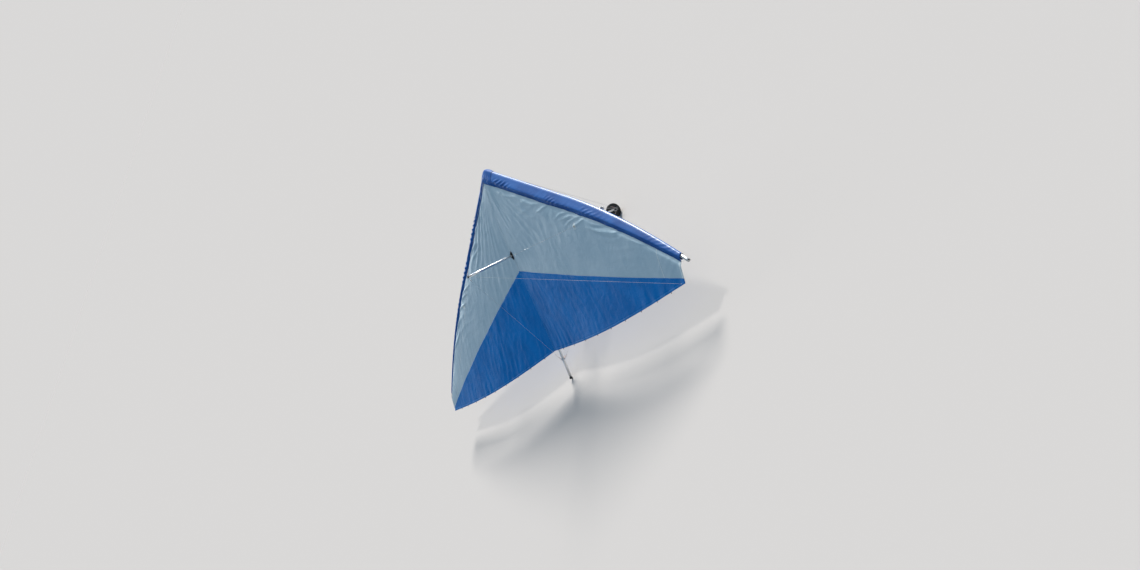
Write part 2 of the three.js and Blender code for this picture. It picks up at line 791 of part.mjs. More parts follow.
// Sail: on each side a white panel, a blue rear panel and a blue pocket round the leading edge
function addSail() {
  const passage = rod(eyes.headLeft, eyes.junction, 14, { sides: 10 });
  const postSlot = rod(
    kingpostFoot,
    lerpPoint(kingpostFoot, kingpostHead, 0.3),
    KINGPOST_RADIUS + 22,
    { sides: 14 },
  );
  const main = sailPanel(pocketSeamY, (x) => chevronY(x) - SEAM, MAIN_ROWS);
  addPair("sail_main", cut(main, passage, postSlot), whiteCloth);
  addPair("sail_rear", sailPanel(chevronY, trailingY, REAR_ROWS), rearCloth);

  const clampOpening = rod(
    sparPoint(CROSSBAR_STATION - 75),
    sparPoint(CROSSBAR_STATION + 75),
    72,
    { sides: 16 },
  ).translate(0, 0, -70);
  addPair(
    "leading_edge_pocket",
    cut(clothPanel(pocketRows()), clampOpening, passage),
    edgeCloth,
  );
}

// The sail's centre is sewn to a pocket that the keel slides through
function addKeelPocket() {
  const section = (y) => {
    const radius = KEEL_RADIUS + 1.25 + KEEL_CLOTH;
    const top = sailHeight(0, y) - CLOTH - 2.5;
    const points = [vec(CLOTH + 0.4, y, top)];
    for (let k = 0; k <= 12; k++) {
      const turn = lerp(PI * 0.3, -PI * 1.3, k / 12);
      points.push(vec(radius * cos(turn), y, radius * sin(turn)));
    }
    points.push(vec(-CLOTH - 0.4, y, top));
    return points.reverse();
  };
  add("keel_pocket", clothPanel(KEEL_POCKET_Y.map(section), KEEL_CLOTH), whiteCloth);
}

// The nose cone joins the two pockets, over the bracket, and stays open underneath
function noseConeRow(share) {
  const x = share * (NOSE_CONE_X - 1.5 * SEAM);
  const side = Math.abs(x);
  const spar = sparAt(side);
  const radius =
    pocketRadius(side) + CLOTH + NOSE_CONE_SWELL * (1 - pow(share, 8));
  const centre = vec(
    x,
    Math.hypot(spar.y, NOSE_CONE_ROUND * sqrt(1 - share * share)),
    spar.z,
  );
  const seam = sailPoint(side, pocketSeamY(side) - SEAM).setX(x);
  const ahead = sailPoint(side, lerp(spar.y, seam.y, 0.7)).setX(x);
  const hem = vec(x, centre.y, centre.z - 2 * radius);
  const stretch = lerp(1, 1 / sin(NOSE_HALF_ANGLE), share * share);
  return [...wrap(centre, radius, stretch, ahead, hem), ahead, seam];
}

function addNoseCone() {
  const otherShares = NOSE_CONE_SHARES.map((share) => -share).reverse();
  const rows = [...otherShares, 0, ...NOSE_CONE_SHARES].map(noseConeRow);
  const cone = clothPanel(rows);
  const stayHole = rod(
    lerpPoint(eyes.noseTop, eyes.headFront, 0.02),
    lerpPoint(eyes.noseTop, eyes.headFront, 0.12),
    STAY_RADIUS + 6,
    { sides: 12 },
  );
  add("nose_cone", cut(cone, stayHole), edgeCloth);
}

// A webbing loop over the keel, which the pilot's harness hangs from
function addHangStrap() {
  const inner = KEEL_RADIUS + FIT;
  const outer = inner + STRAP_THICKNESS;
  const bend = 5.5; // inside of the fold at the bottom of the loop
  const wide = bend + STRAP_THICKNESS;
  const fold = wide - STRAP_DROP;
  const ring = new THREE.Shape();
  ring.moveTo(-outer, 0);
  ring.absarc(0, 0, outer, PI, 0, true);
  ring.lineTo(wide, fold);
  ring.absarc(0, fold, wide, 0, -PI, true);
  ring.closePath();
  const hole = new THREE.Path();
  hole.absarc(0, 0, inner, 0, PI, false);
  hole.lineTo(-bend, fold);
  hole.absarc(0, fold, bend, PI, 2 * PI, false);
  hole.closePath();
  ring.holes.push(hole);
  const strap = new THREE.ExtrudeGeometry(ring, {
    depth: STRAP_WIDTH,
    bevelEnabled: false,
    curveSegments: 8,
  }).rotateX(PI / 2);
  strap.translate(0, APEX_Y + STRAP_AFT + STRAP_WIDTH, 0);
  add("hang_strap", strap, webbing);
}

addKeel();
addNoseBracket();
addSpars();
addCrossbar();
addKingpost();
addControlFrame();
addWheels();
addStays();
addSail();
addKeelPocket();
addNoseCone();
addHangStrap();

// Parked stance: pitch until the wheels and the tail cap stand on one level
const run = KEEL_LENGTH + TAIL_CAP_RIM - corner.y;
const fall = FRAME_HEIGHT;
const pitch =
  Math.atan2(fall, run) +
  Math.asin((WHEEL_RADIUS - TAIL_CAP_RADIUS) / Math.hypot(run, fall));
wing.rotation.x = -pitch;

const glider = new THREE.Group();
glider.add(wing);
glider.updateMatrixWorld(true);
const bounds = new THREE.Box3().setFromObject(glider, true);
glider.position.set(0, -(bounds.min.y + bounds.max.y) / 2, -bounds.min.z);

export default glider;
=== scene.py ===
# %% [markdown]
# # Dressing a hang glider
#
# The construction is finished: every tube, fitting and panel already stands in its place at its real size.
# This lesson gives it its looks. The cloth becomes thin sheets that pull, sag and wrinkle, and the tubes,
# wires and fittings are modelled again with their ends, bolts and wear. Nothing is moved or resized.

# %% Load the construction
import json
import math
from functools import lru_cache

import bmesh
import bpy
from mathutils import Matrix, Vector, noise


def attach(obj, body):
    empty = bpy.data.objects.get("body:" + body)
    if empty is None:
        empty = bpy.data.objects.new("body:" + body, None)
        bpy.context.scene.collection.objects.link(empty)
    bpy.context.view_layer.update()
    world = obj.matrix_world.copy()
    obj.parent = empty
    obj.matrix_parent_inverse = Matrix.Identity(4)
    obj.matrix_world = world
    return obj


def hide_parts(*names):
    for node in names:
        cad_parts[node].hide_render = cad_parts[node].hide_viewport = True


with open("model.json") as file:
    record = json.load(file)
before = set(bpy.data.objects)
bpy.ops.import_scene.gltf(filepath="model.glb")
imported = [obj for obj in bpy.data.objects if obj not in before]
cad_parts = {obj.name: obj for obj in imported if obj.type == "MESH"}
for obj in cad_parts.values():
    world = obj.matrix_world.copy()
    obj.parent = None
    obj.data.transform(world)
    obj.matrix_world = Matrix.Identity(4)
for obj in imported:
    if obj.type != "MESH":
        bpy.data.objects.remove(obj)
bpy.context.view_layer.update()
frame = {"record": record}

# %% [markdown]
# ## The wing's own axes
#
# The glider is parked with its nose up, so its keel slopes. Everything on it is easier to draw along the
# wing: x across the span (plus is the pilot's left), y aft along the keel from the nose, z square to the
# keel. The mount under the control frame's apex gives both slope and place, so no angle is typed in here.

# %% Wing axes
APEX_Y, APEX_DEPTH = 1.430, 0.068
mount = frame["record"]["mounts"][0]
down = Vector(mount["axis"]).normalized()
UP = -down
AFT = Vector((0, UP.z, -UP.y))
NOSE = Vector(mount["pos_m"]) - AFT * APEX_Y - down * APEX_DEPTH
WING = Matrix(((1, 0, 0, NOSE.x), (0, AFT.y, UP.y, NOSE.y), (0, AFT.z, UP.z, NOSE.z), (0, 0, 0, 1)))
X, Y, Z = Vector((1, 0, 0)), Vector((0, 1, 0)), Vector((0, 0, 1))
SIDES = {"left": 1, "right": -1}
print("keel slopes by", round(math.degrees(math.asin(-AFT.z)), 2), "degrees")


def lerp(start, end, share):
    return start + (end - start) * share


def ease(low, high, value):
    """0 below low, 1 above high, and a smooth step between them."""
    share = min(1, max(0, (value - low) / (high - low)))
    return share * share * (3 - 2 * share)


def mirrored(point, side=-1):
    return Vector((side * point.x, point.y, point.z))


# %% [markdown]
# ## The camera
#
# The photograph looks at the wing's upper side from beyond its right tip, with the nose at the top.
# A place, a point to aim at and a direction for the picture's top fix a camera completely.
# Three crossed vectors turn them into its rotation, which also takes in the roll.

# %% Camera
CAMERA_PLACE = Vector((-23.996, 4.526, 10.803))
CAMERA_AIM = Vector((-1.286, 2.334, 0.0))
PICTURE_TOP = Vector((-0.237, -0.920, -0.312))
PICTURE_WIDTH_PX, FOCAL_LENGTH_PX = 1140, 1646
SENSOR_MM, SIGHT = 36, 900


def add_object(name, data):
    made = bpy.data.objects.new(name, data)
    bpy.context.scene.collection.objects.link(made)
    return made


eye = WING @ CAMERA_PLACE
back = (eye - WING @ CAMERA_AIM).normalized()
right = (WING.to_3x3() @ PICTURE_TOP).cross(back).normalized()
turn = Matrix((right, back.cross(right), back)).transposed()
camera = add_object("camera", bpy.data.cameras.new("camera"))
camera.matrix_world = Matrix.Translation(eye) @ turn.to_4x4()
camera.data.sensor_width = SENSOR_MM
camera.data.lens = SENSOR_MM * FOCAL_LENGTH_PX / PICTURE_WIDTH_PX
camera.data.clip_end = SIGHT
bpy.context.scene.camera = camera
print("camera", [round(n, 2) for n in eye], "lens", round(camera.data.lens, 1))

# %% [markdown]
# ## Node helpers
#
# A procedural material is a small program of nodes. "feed" gives a socket its value, whether that is a
# number, a colour or another node's output. The rest are single nodes that return often, and "effect" wraps
# a function as a node group that several materials share.

# %% Node helpers


def feed(tree, target, value):
    if isinstance(value, bpy.types.NodeSocket):
        tree.links.new(value, target)
    else:
        target.default_value = (*value, 1) if target.type == "RGBA" else value


def feed_all(tree, node, inputs):
    for name, value in inputs.items():
        feed(tree, node.inputs[name.replace("_", " ") if isinstance(name, str) else name], value)
    return node


def add_node(tree, kind, inputs=None, **settings):
    made = tree.nodes.new("ShaderNode" + kind)
    for name, value in settings.items():
        setattr(made, name, value)
    return feed_all(tree, made, inputs or {})


def calc(tree, operation, *values):
    return add_node(tree, "Math", dict(enumerate(values)), operation=operation).outputs[0]


def remap(tree, value, from_low, from_high, to_low=0.0, to_high=1.0):
    inputs = {0: value, 1: from_low, 2: from_high, 3: to_low, 4: to_high}
    return add_node(tree, "MapRange", inputs).outputs[0]


def blend_colour(tree, share, first, second):
    return add_node(tree, "Mix", {0: share, 6: first, 7: second}, data_type="RGBA").outputs[2]


def noise_at(tree, where, scale, detail, **more):
    inputs = {"Vector": where, "Scale": scale, "Detail": detail, **more}
    return add_node(tree, "TexNoise", inputs).outputs[0]


def bump(tree, height, strength, distance, **more):
    inputs = {"Height": height, "Strength": strength, "Distance": distance, **more}
    return add_node(tree, "Bump", inputs).outputs[0]


def split(tree, vector):
    return add_node(tree, "SeparateXYZ", {0: vector}).outputs


def object_place(tree):
    return add_node(tree, "TexCoord").outputs["Object"]


def effect(name, inputs, outputs):
    """Makes a node group of the function below it. An input without a number is a vector."""

    def make(build):
        tree = bpy.data.node_groups.new(name, "ShaderNodeTree")
        for label, value in inputs.items():
            kind = "NodeSocketVector" if value is None else "NodeSocketFloat"
            socket = tree.interface.new_socket(label, in_out="INPUT", socket_type=kind)
            if value is not None:
                socket.default_value = value
        for label in outputs:
            tree.interface.new_socket(label, in_out="OUTPUT", socket_type="NodeSocketFloat")
        given = tree.nodes.new("NodeGroupInput").outputs
        sink = tree.nodes.new("NodeGroupOutput")
        feed_all(tree, sink, dict(zip(outputs, build(tree, given))))
        return tree

    return make


def use(tree, group, **inputs):
    return feed_all(tree, add_node(tree, "Group", node_tree=group), inputs).outputs


def new_material(name, **fixed):
    """A material with one Principled shader, its node tree and the shader."""
    made = bpy.data.materials.new(name)
    made.use_nodes = True
    tree = made.node_tree
    return made, tree, feed_all(tree, tree.nodes["Principled BSDF"], fixed)


# %% [markdown]
# ## Floor and light
#
# A plain pale floor, so wide that it meets the background far away. The background takes the floor's own
# brightness for the camera alone, so no line shows where they meet. Suns with a wide angle are soft boxes
# that light the floor evenly. The key comes low from ahead and from the left, just under the wing's plane: it
# lights the front of the leading edges and leaves the top of the sail in soft shade. Two weak ones, one from
# the far side and one that grazes the sail, show its folds, and the last one fills the shade.

# %% Floor, suns and background
FLOOR_COLOUR = (0.52, 0.49, 0.465)
FLOOR_RADIUS = 320
SKY = (0.18, 0.265, 0.36)
SUNS = {  # name: direction towards the light, strength, softness in degrees, colour
    "key": ((0.38, -0.816, 0.437), 6.5, 14, (1.0, 0.98, 0.95)),
    "far side": ((0.965, -0.131, 0.223), 0.35, 14, (0.93, 0.97, 1.0)),
    "grazing": ((0.42, -0.52, 0.74), 0.8, 7, (1.0, 0.98, 0.95)),
    "fill": ((-0.75, 0.45, 0.50), 0.30, 60, (0.93, 0.96, 1.0)),
}

disc = bmesh.new()
bmesh.ops.create_circle(disc, cap_ends=True, segments=96, radius=FLOOR_RADIUS)
floor = add_object("floor", bpy.data.meshes.new("floor"))
disc.to_mesh(floor.data)
disc.free()
pale = new_material("pale floor", Base_Color=FLOOR_COLOUR, Roughness=1.0, Specular_IOR_Level=0.0)
floor.data.materials.append(pale[0])

floor_light = Vector(SKY)
for name, (towards, strength, softness, colour) in SUNS.items():
    towards = Vector(towards).normalized()
    sun = add_object(name, bpy.data.lights.new(name, "SUN"))
    sun.data.energy, sun.data.angle, sun.data.color = strength, math.radians(softness), colour
    sun.rotation_euler = towards.to_track_quat("Z", "Y").to_euler()
    floor_light += Vector(colour) * strength * towards.z / math.pi

world = bpy.data.worlds.new("studio")
world.use_nodes = True
bpy.context.scene.world = world
sky = world.node_tree
sky.nodes.clear()
seen = [light * share for light, share in zip(floor_light, FLOOR_COLOUR)]
lighting, shown = (add_node(sky, "Background", {"Color": c}).outputs[0] for c in (SKY, seen))
for_camera = add_node(sky, "LightPath").outputs["Is Camera Ray"]
mixed = add_node(sky, "MixShader", {"Fac": for_camera, 1: lighting, 2: shown})
add_node(sky, "OutputWorld", {"Surface": mixed.outputs[0]})
bpy.context.scene.view_settings.view_transform = "Standard"
print("floor shows as", [round(n, 2) for n in seen])

# %% [markdown]
# ## Effects that the finishes share
#
# Sailcloth is a tight plain weave with a hard resin finish, so it creases crisply like paper. From close by
# its threads show, from further off its creases and slight stains. The crumple effect folds noise about zero,
# which gives sharp ridges between smooth facets. The stitch effect reads the distance to a seam and the
# distance along it, which each sheet carries as a UV map, and returns three masks: two rows of zigzag thread,
# the lap of double cloth, and the part of the sheet that lies taut because no seam is near.

# %% Shared effects
STITCH_ROWS, ZIGZAG = (0.004, 0.012), 0.004
THREAD_INNER, THREAD_OUTER = 0.0005, 0.0011
CRUMPLE_SCALES = ((5.0, 1.0), (13.0, 0.5), (34.0, 0.22))


@effect("weave", {"Vector": None, "Threads": 2600.0}, ["Height"])
def weave(tree, given):
    threads = [
        calc(tree, "SINE", calc(tree, "MULTIPLY", part, given["Threads"]))
        for part in split(tree, given["Vector"])[:2]
    ]
    slub = noise_at(tree, given["Vector"], 260.0, 2.0)
    return [calc(tree, "ADD", calc(tree, "MULTIPLY", *threads), slub)]


@effect("crumple", {"Vector": None, "Scale": 1.0}, ["Height"])
def crumple(tree, given):
    total = None
    for scale, share in CRUMPLE_SCALES:
        size = calc(tree, "MULTIPLY", given["Scale"], scale)
        wave = noise_at(tree, given["Vector"], size, 1.0, Distortion=0.6)
        ridge = calc(tree, "ABSOLUTE", calc(tree, "SUBTRACT", wave, 0.5))
        part = calc(tree, "MULTIPLY", ridge, share)
        total = part if total is None else calc(tree, "ADD", total, part)
    return [total]


@effect("stitch", {"Seam": None}, ["Thread", "Lap", "Taut"])
def stitch(tree, given):
    away, along = split(tree, given["Seam"])[:2]
    shift = calc(tree, "SUBTRACT", calc(tree, "PINGPONG", along, ZIGZAG), ZIGZAG / 2)
    rows = []
    for row in STITCH_ROWS:
        off = calc(tree, "ABSOLUTE", calc(tree, "SUBTRACT", calc(tree, "SUBTRACT", away, row), shift))
        rows.append(remap(tree, off, THREAD_INNER, THREAD_OUTER, 1.0, 0.0))
    lap_and_crease_shade = remap(tree, away, 0.015, 0.017, 1.0, 0.0)
    return [calc(tree, "MAXIMUM", *rows), lap_and_crease_shade, remap(tree, away, 0.05, 0.13)]


@effect("stain", {"Vector": None, "Amount": 0.2}, ["Mask"])
def stain(tree, given):
    patch = remap(tree, noise_at(tree, given["Vector"], 1.3, 5.0), 0.42, 0.72)
    speck = remap(tree, noise_at(tree, given["Vector"], 11.0, 6.0), 0.5, 0.8)
    return [calc(tree, "MULTIPLY", given["Amount"], calc(tree, "ADD", patch, speck))]


print("four shared effects")

# %% [markdown]
# ## Sailcloth finishes
#
# One recipe serves the white, blue and azure cloth. Its colour shifts a little from place to place, laps of
# double cloth are deeper, thread is lighter, and bump adds crumple and weave to the folds that the mesh
# itself has. On the blue pocket the lap is darkened much more, as painted shade of the crease along its seam.
# Stains make it rougher. Only the blue pocket has a coat, and only where the cloth is taut round
# the tube: there the resin finish still shines.

# %% Cloth materials


def sailcloth(name, colour, deep, thread, crumpled, lap_and_crease_shade=0.10, gloss=0.2, shine=0.0):
    made, tree, shader = new_material(name, Specular_IOR_Level=gloss, Coat_Roughness=0.32)
    cloth_map, seam_map = (add_node(tree, "UVMap", uv_map=m).outputs[0] for m in ("cloth", "seam"))
    here = object_place(tree)
    marks = use(tree, stitch, Seam=seam_map)
    stained = use(tree, stain, Vector=here, Amount=0.35)[0]
    cloudy = noise_at(tree, here, 2.2, 3.0)
    tone = blend_colour(tree, remap(tree, cloudy, 0.35, 0.65), colour, deep)
    tone = blend_colour(tree, calc(tree, "MULTIPLY", stained, 0.35), tone, deep)
    # laps of double cloth are darker; on the blue pocket the strong darkening here is painted shade of the
    # crease at its seam
    tone = blend_colour(tree, calc(tree, "MULTIPLY", marks["Lap"], lap_and_crease_shade), tone, [c * 0.6 for c in deep])
    tone = blend_colour(tree, calc(tree, "MULTIPLY", marks["Thread"], 0.6), tone, thread)
    rough = calc(tree, "ADD", calc(tree, "MULTIPLY", stained, 0.25), 0.5)
    folded = bump(tree, use(tree, crumple, Vector=here, Scale=1.0)[0], crumpled, 0.02)
    woven = bump(tree, use(tree, weave, Vector=cloth_map)[0], 0.1, 0.0004, Normal=folded)
    sewn = bump(tree, marks["Thread"], 0.6, 0.0008, Normal=woven)
    feed_all(tree, shader, {"Base Color": tone, "Roughness": rough, "Normal": sewn})
    if shine:
        feed_all(tree, shader, {"Coat Weight": calc(tree, "MULTIPLY", marks["Taut"], shine)})
    return made


white_cloth = sailcloth(
    "white sailcloth", (0.46, 0.59, 0.66), (0.39, 0.53, 0.61), (0.66, 0.73, 0.78), 0.35
)
# the blue pocket's large lap share is painted shade of the crease along the pocket's seam
blue_cloth = sailcloth(
    "blue sailcloth", (0.020, 0.120, 0.385), (0.010, 0.078, 0.29), (0.10, 0.20, 0.50), 0.4,
    lap_and_crease_shade=0.6, gloss=0.1, shine=0.5,
)
azure_cloth = sailcloth(
    "azure sailcloth", (0.003, 0.19, 0.56), (0.002, 0.155, 0.48), (0.08, 0.30, 0.64), 0.4, gloss=0.07
)
hem_cloth = sailcloth("hem cloth", (0.63, 0.72, 0.74), (0.56, 0.66, 0.69), (0.74, 0.79, 0.80), 0.25)
print("four sailcloths")

# %% [markdown]
# ## The leading edge and the sail as formulas
#
# The leading edge is straight to the crossbar and then bows aft, because the sail pulls its tip back.
# The sail's height over the wing's plane has three parts: a straight line from the pocket to the trailing
# edge, billow that lifts the trailing edge halfway out, and camber that is highest at about a fifth of the
# chord. All the panels read one formula, so they meet without a step.

# %% Wing shape
NOSE_HALF_ANGLE, DIHEDRAL = math.radians(63.4), math.radians(1.0)
SPAR_LENGTH, SPAR_START, SPAR_BOLT = 5.900, 0.130, 0.185
SPAR_JOIN, SPAR_SLEEVE = 3.900, 0.220
SPAR_BOW_START, SPAR_BOW = 2.700, 0.330
SPAR_RADIUS, OUTBOARD_RADIUS, TUBE_WALL = 0.025, 0.0224, 0.0016
SAIL_TIP_X = 5.010
TRAILING_ROOT_Y, TRAILING_TIP_Y, TRAILING_BOW = 3.120, 3.200, 0.095
TRAILING_LIFT, TRAILING_TIP_LIFT, BILLOW = 0.075, 0.110, 0.135
CAMBER, CAMBER_PEAK, CAMBER_POWER, CAMBER_FADE = 0.110, 0.22, 2.1, 0.7
POCKET_RADIUS, POCKET_SLACK = 0.02585, 0.0016
POCKET_CHORD, POCKET_TIP_CHORD = 0.172, 0.058
CHEVRON_ROOT_Y, CHEVRON_TIP_Y = 1.735, 3.150
BATTEN_X = (0.42, 0.96, 1.50, 2.04, 2.58, 3.11, 3.64, 4.16, 4.58)
CAD_CLOTH = 0.003


def spar_point(length):
    past = max(0, (length - SPAR_BOW_START) / (SPAR_LENGTH - SPAR_BOW_START))
    bow = SPAR_BOW * past * past
    x = length * math.sin(NOSE_HALF_ANGLE) - bow * math.cos(NOSE_HALF_ANGLE)
    y = length * math.cos(NOSE_HALF_ANGLE) + bow * math.sin(NOSE_HALF_ANGLE)
    return Vector((x, y, x * math.tan(DIHEDRAL)))


@lru_cache(maxsize=None)
def spar_at(x):
    """The leading edge's axis at x, found by stepping along it."""
    length = x / math.sin(NOSE_HALF_ANGLE)
    for _ in range(6):
        length += (x - spar_point(length).x) / math.sin(NOSE_HALF_ANGLE)
    return spar_point(length)


def trailing_y(x):
    share = x / SAIL_TIP_X
    return lerp(TRAILING_ROOT_Y, TRAILING_TIP_Y, share) + TRAILING_BOW * math.sin(math.pi * share)


def chevron_y(x):
    return lerp(CHEVRON_ROOT_Y, CHEVRON_TIP_Y, x / SAIL_TIP_X)


@lru_cache(maxsize=None)
def pocket_seam_y(x):
    return spar_at(x).y + lerp(POCKET_CHORD, POCKET_TIP_CHORD, (x / SAIL_TIP_X) ** 3)


def pocket_radius(x):
    return POCKET_RADIUS + POCKET_SLACK * math.sin(math.pi * x / SAIL_TIP_X) ** 2


def raw_camber(share):
    return share ** (CAMBER_POWER * CAMBER_PEAK) * (1 - share) ** (CAMBER_POWER * (1 - CAMBER_PEAK))


@lru_cache(maxsize=None)
def sail_column(x):
    """What a strip of sail at x needs: its front, its chord and the heights of its two ends."""
    spar = spar_at(x)
    across = x / SAIL_TIP_X
    lift = lerp(TRAILING_LIFT, TRAILING_TIP_LIFT, across)
    rear = spar.z + lift + BILLOW * math.sin(math.pi * across)
    return spar.y, trailing_y(x) - spar.y, spar.z + pocket_radius(x) + CAD_CLOTH, rear


def sail_height(x, y):
    front_y, chord, front_z, rear_z = sail_column(x)
    share = min(1, max(0, (y - front_y) / chord))
    camber = CAMBER * (chord / TRAILING_ROOT_Y) ** CAMBER_FADE
    return lerp(front_z, rear_z, share) + camber * (raw_camber(share) / raw_camber(CAMBER_PEAK))


print("tip of the leading edge at", [round(n, 3) for n in spar_point(SPAR_LENGTH)])

# %% [markdown]
# ## Folds in the cloth
#
# A sail on its frame is pulled along some lines and loose between them. The photograph shows a fan of folds
# that starts at the nose, swags that hang behind the leading-edge pocket, a crease along its seam, and a few
# long pulls, which are placed one by one. Each is a wave along its own direction, strong only where it
# belongs, and smooth noise bends and breaks the waves so that no two folds are alike. The two wings read
# different noise. Real geometry like this catches light from every side, which bump alone doesn't.

# %% Fold formulas
FOLD_SEED = {1: 3.1, -1: 47.3}
PULLS_MM = {  # side: start and end in the plan, how far the middle bends aft, height and width
    -1: (
        (2340, 1590, 2880, 1605, -35, 13, 26),
        (2170, 1460, 2790, 1555, -15, 12, 28),
        (2070, 1400, 2660, 1480, -40, 12, 26),
        (2550, 1660, 2920, 1650, 10, 10, 24),
        (2280, 1545, 2660, 1570, -20, -7, 18),
        (1660, 1130, 1930, 1140, 0, 9, 22),
        (1520, 1125, 1760, 1150, 10, 8, 20),
        (1160, 840, 1660, 1040, 20, 10, 34),
        (1430, 930, 2280, 1260, 10, 9, 30),
        (3020, 1760, 3520, 1940, 10, 11, 26),
        (3000, 1815, 3820, 2110, 40, 12, 30),
        (3140, 1915, 3720, 2100, 35, 10, 28),
        (3430, 2070, 3740, 2140, 10, 8, 22),
        (3950, 2270, 4350, 2470, 15, 6, 26),
        (550, 560, 980, 700, 15, 8, 24),
    ),
    1: (
        (1200, 790, 1840, 1010, -40, 15, 28),
        (1090, 900, 1640, 1010, -20, 15, 28),
        (1020, 995, 1460, 1080, -10, 12, 24),
        (2250, 1520, 2850, 1585, -30, 12, 26),
        (2120, 1420, 2740, 1520, -20, 11, 28),
        (2460, 1640, 2930, 1655, 0, 10, 24),
        (620, 590, 1050, 730, 10, 9, 24),
        (3050, 1790, 3660, 2020, 20, 11, 28),
        (3220, 1960, 3880, 2190, 35, 10, 28),
        (3900, 2250, 4400, 2500, 10, 7, 26),
    ),
}
PULLS = {side: [[n / 1000 for n in row] for row in rows] for side, rows in PULLS_MM.items()}


def drift(x, y, scale, seed):
    """Smooth noise from -1 to 1, with features about 1/scale metres across."""
    return noise.noise(Vector((x * scale, y * scale, seed)))


def pleat(turns):
    """A wave with narrow crests and broad hollows; its mean is zero."""
    crest = 0.5 + 0.5 * math.cos(math.tau * turns)
    return crest * crest - 0.375


def nose_fan(x, y, seed):
    reach, angle = math.hypot(x, y), math.atan2(x, y)
    strength = ease(0.18, 0.5, reach) * (1 - ease(1.3, 2.7, reach))
    warp = drift(x, y, 1.1, seed)
    bundles = 0.5 + 1.1 * drift(angle * 1.7, reach * 0.4, 1.7, seed + 5)
    return 0.013 * strength * max(0, bundles) * pleat(angle * 9.5 + warp * 0.7)


def swags(x, behind, seed):
    """Soft folds behind the pocket's seam, nearly along the span."""
    depth = math.exp(-behind / 0.30) * ease(0.0, 0.04, behind)
    warp = drift(x, behind, 1.6, seed + 11)
    bundle = ease(-0.1, 0.4, drift(x, behind * 0.5, 1.15, seed + 17))
    height = lerp(0.009, 0.002, ease(3.4, 4.2, x))
    return height * depth * bundle * pleat((0.34 * x + 0.94 * behind) / 0.150 + warp * 1.1)


def pulls(x, y, side):
    total = 0.0
    for start_x, start_y, end_x, end_y, bend, height, width in PULLS[side]:
        run_x, run_y = end_x - start_x, end_y - start_y
        length = math.hypot(run_x, run_y)
        share = ((x - start_x) * run_x + (y - start_y) * run_y) / length**2
        if -0.2 < share < 1.2:
            off = ((y - start_y) * run_x - (x - start_x) * run_y) / length
            apart = (off - bend * 4 * share * (1 - share)) / width
            if abs(apart) < 4:
                fade = ease(-0.2, 0.35, share) * (1 - ease(0.85, 1.15, share))
                ridge = 1.3 * math.exp(-apart * apart) - 0.45 * math.exp(-apart * apart / 5)
                total += height * fade * ridge
    return total


def flutter(x, before, seed):
    """Small waves along the trailing edge."""
    strength = math.exp(-before / 0.2) * (0.5 + drift(x, 0, 0.8, seed + 3))
    return 0.006 * strength * math.sin(math.tau * x / 0.27 + 6 * drift(x, 0, 1.2, seed))


def slack(x, y, seed):
    """Broad waves, and creases where folded noise changes sign."""
    broad = 0.009 * drift(x, y, 1.7, seed + 23)
    long_fold = 0.0055 * (0.5 - abs(drift(x * 2.4 - y * 0.8, y * 0.9, 2.2, seed + 29)) * 2)
    crease = 0.0028 * (0.5 - abs(drift(x, y, 6.5, seed + 31)) * 2)
    return broad + (long_fold + crease) * lerp(1.0, 0.45, ease(1.4, 3.0, x))


def batten_ridge(x):
    nearest = min(abs(x - at) for at in BATTEN_X)
    return 0.0012 * math.exp(-((nearest / 0.022) ** 2))


@lru_cache(maxsize=None)
def seam_groove(x):
    """How deep the cloth dips at the pocket's seam, behind the loose hump of the pocket."""
    return 0.024 * (1 + 0.35 * drift(x, 0, 1.9, 8.3)) * ease(0.05, 0.5, x)


def folds(x, y, side):
    """How far the cloth stands off the smooth sail at this point of one wing."""
    seed = FOLD_SEED[side]
    behind, before = max(0, y - pocket_seam_y(x)), max(0, trailing_y(x) - y)
    quiet = 0.35 + 0.65 * ease(0.02, 0.25, x)
    seam_dip = -seam_groove(x) * math.exp(-((behind / 0.045) ** 2))
    tip = 0.0012 * ease(4.3, 4.9, x) * math.sin(2 * math.pi * (y * 0.8 + x * 0.6) / 0.13)
    loose = nose_fan(x, y, seed) + swags(x, behind, seed) + flutter(x, before, seed)
    loose = loose + slack(x, y, seed) + pulls(x, y, side) + tip
    return loose * quiet + seam_dip + batten_ridge(x)


def sail_point(x, y, side, lift=0.0):
    return Vector((side * x, y, sail_height(x, y) + folds(x, y, side) + lift))


def centre_point(x, y, lift=0.0):
    """A point near the centre seam, halfway between what the two wings' folds say."""
    level = (folds(abs(x), y, 1) + folds(abs(x), y, -1)) / 2
    return Vector((x, y, sail_height(abs(x), y) + level + lift))


print("sail stands", round(sail_point(1.0, 1.0, 1).z, 3), "over the keel's axis one metre out and aft")

# %% [markdown]
# ## Making a piece
#
# Every piece ends the same way: its mesh goes from wing axes to the place where it stands, gets its material,
# rides on a body, and hides the plain solid that it stands for.
# Parts of a piece are small meshes of their own that are put together, each with its material's number.
# A point's place along and round its own tube is kept as an attribute, so that grain can follow the tube.

# %% Piece helpers
GRAIN = "grain"


def blank():
    made = bmesh.new()
    made.verts.layers.float_vector.new(GRAIN)
    return made


def put(target, part, matrix=Matrix(), material=0):
    """Moves a part into place and makes it part of the target."""
    for face in part.faces:
        face.material_index = material
    part.transform(matrix)
    carrier = bpy.data.meshes.new("part")
    part.to_mesh(carrier)
    part.free()
    target.from_mesh(carrier)
    bpy.data.meshes.remove(carrier)


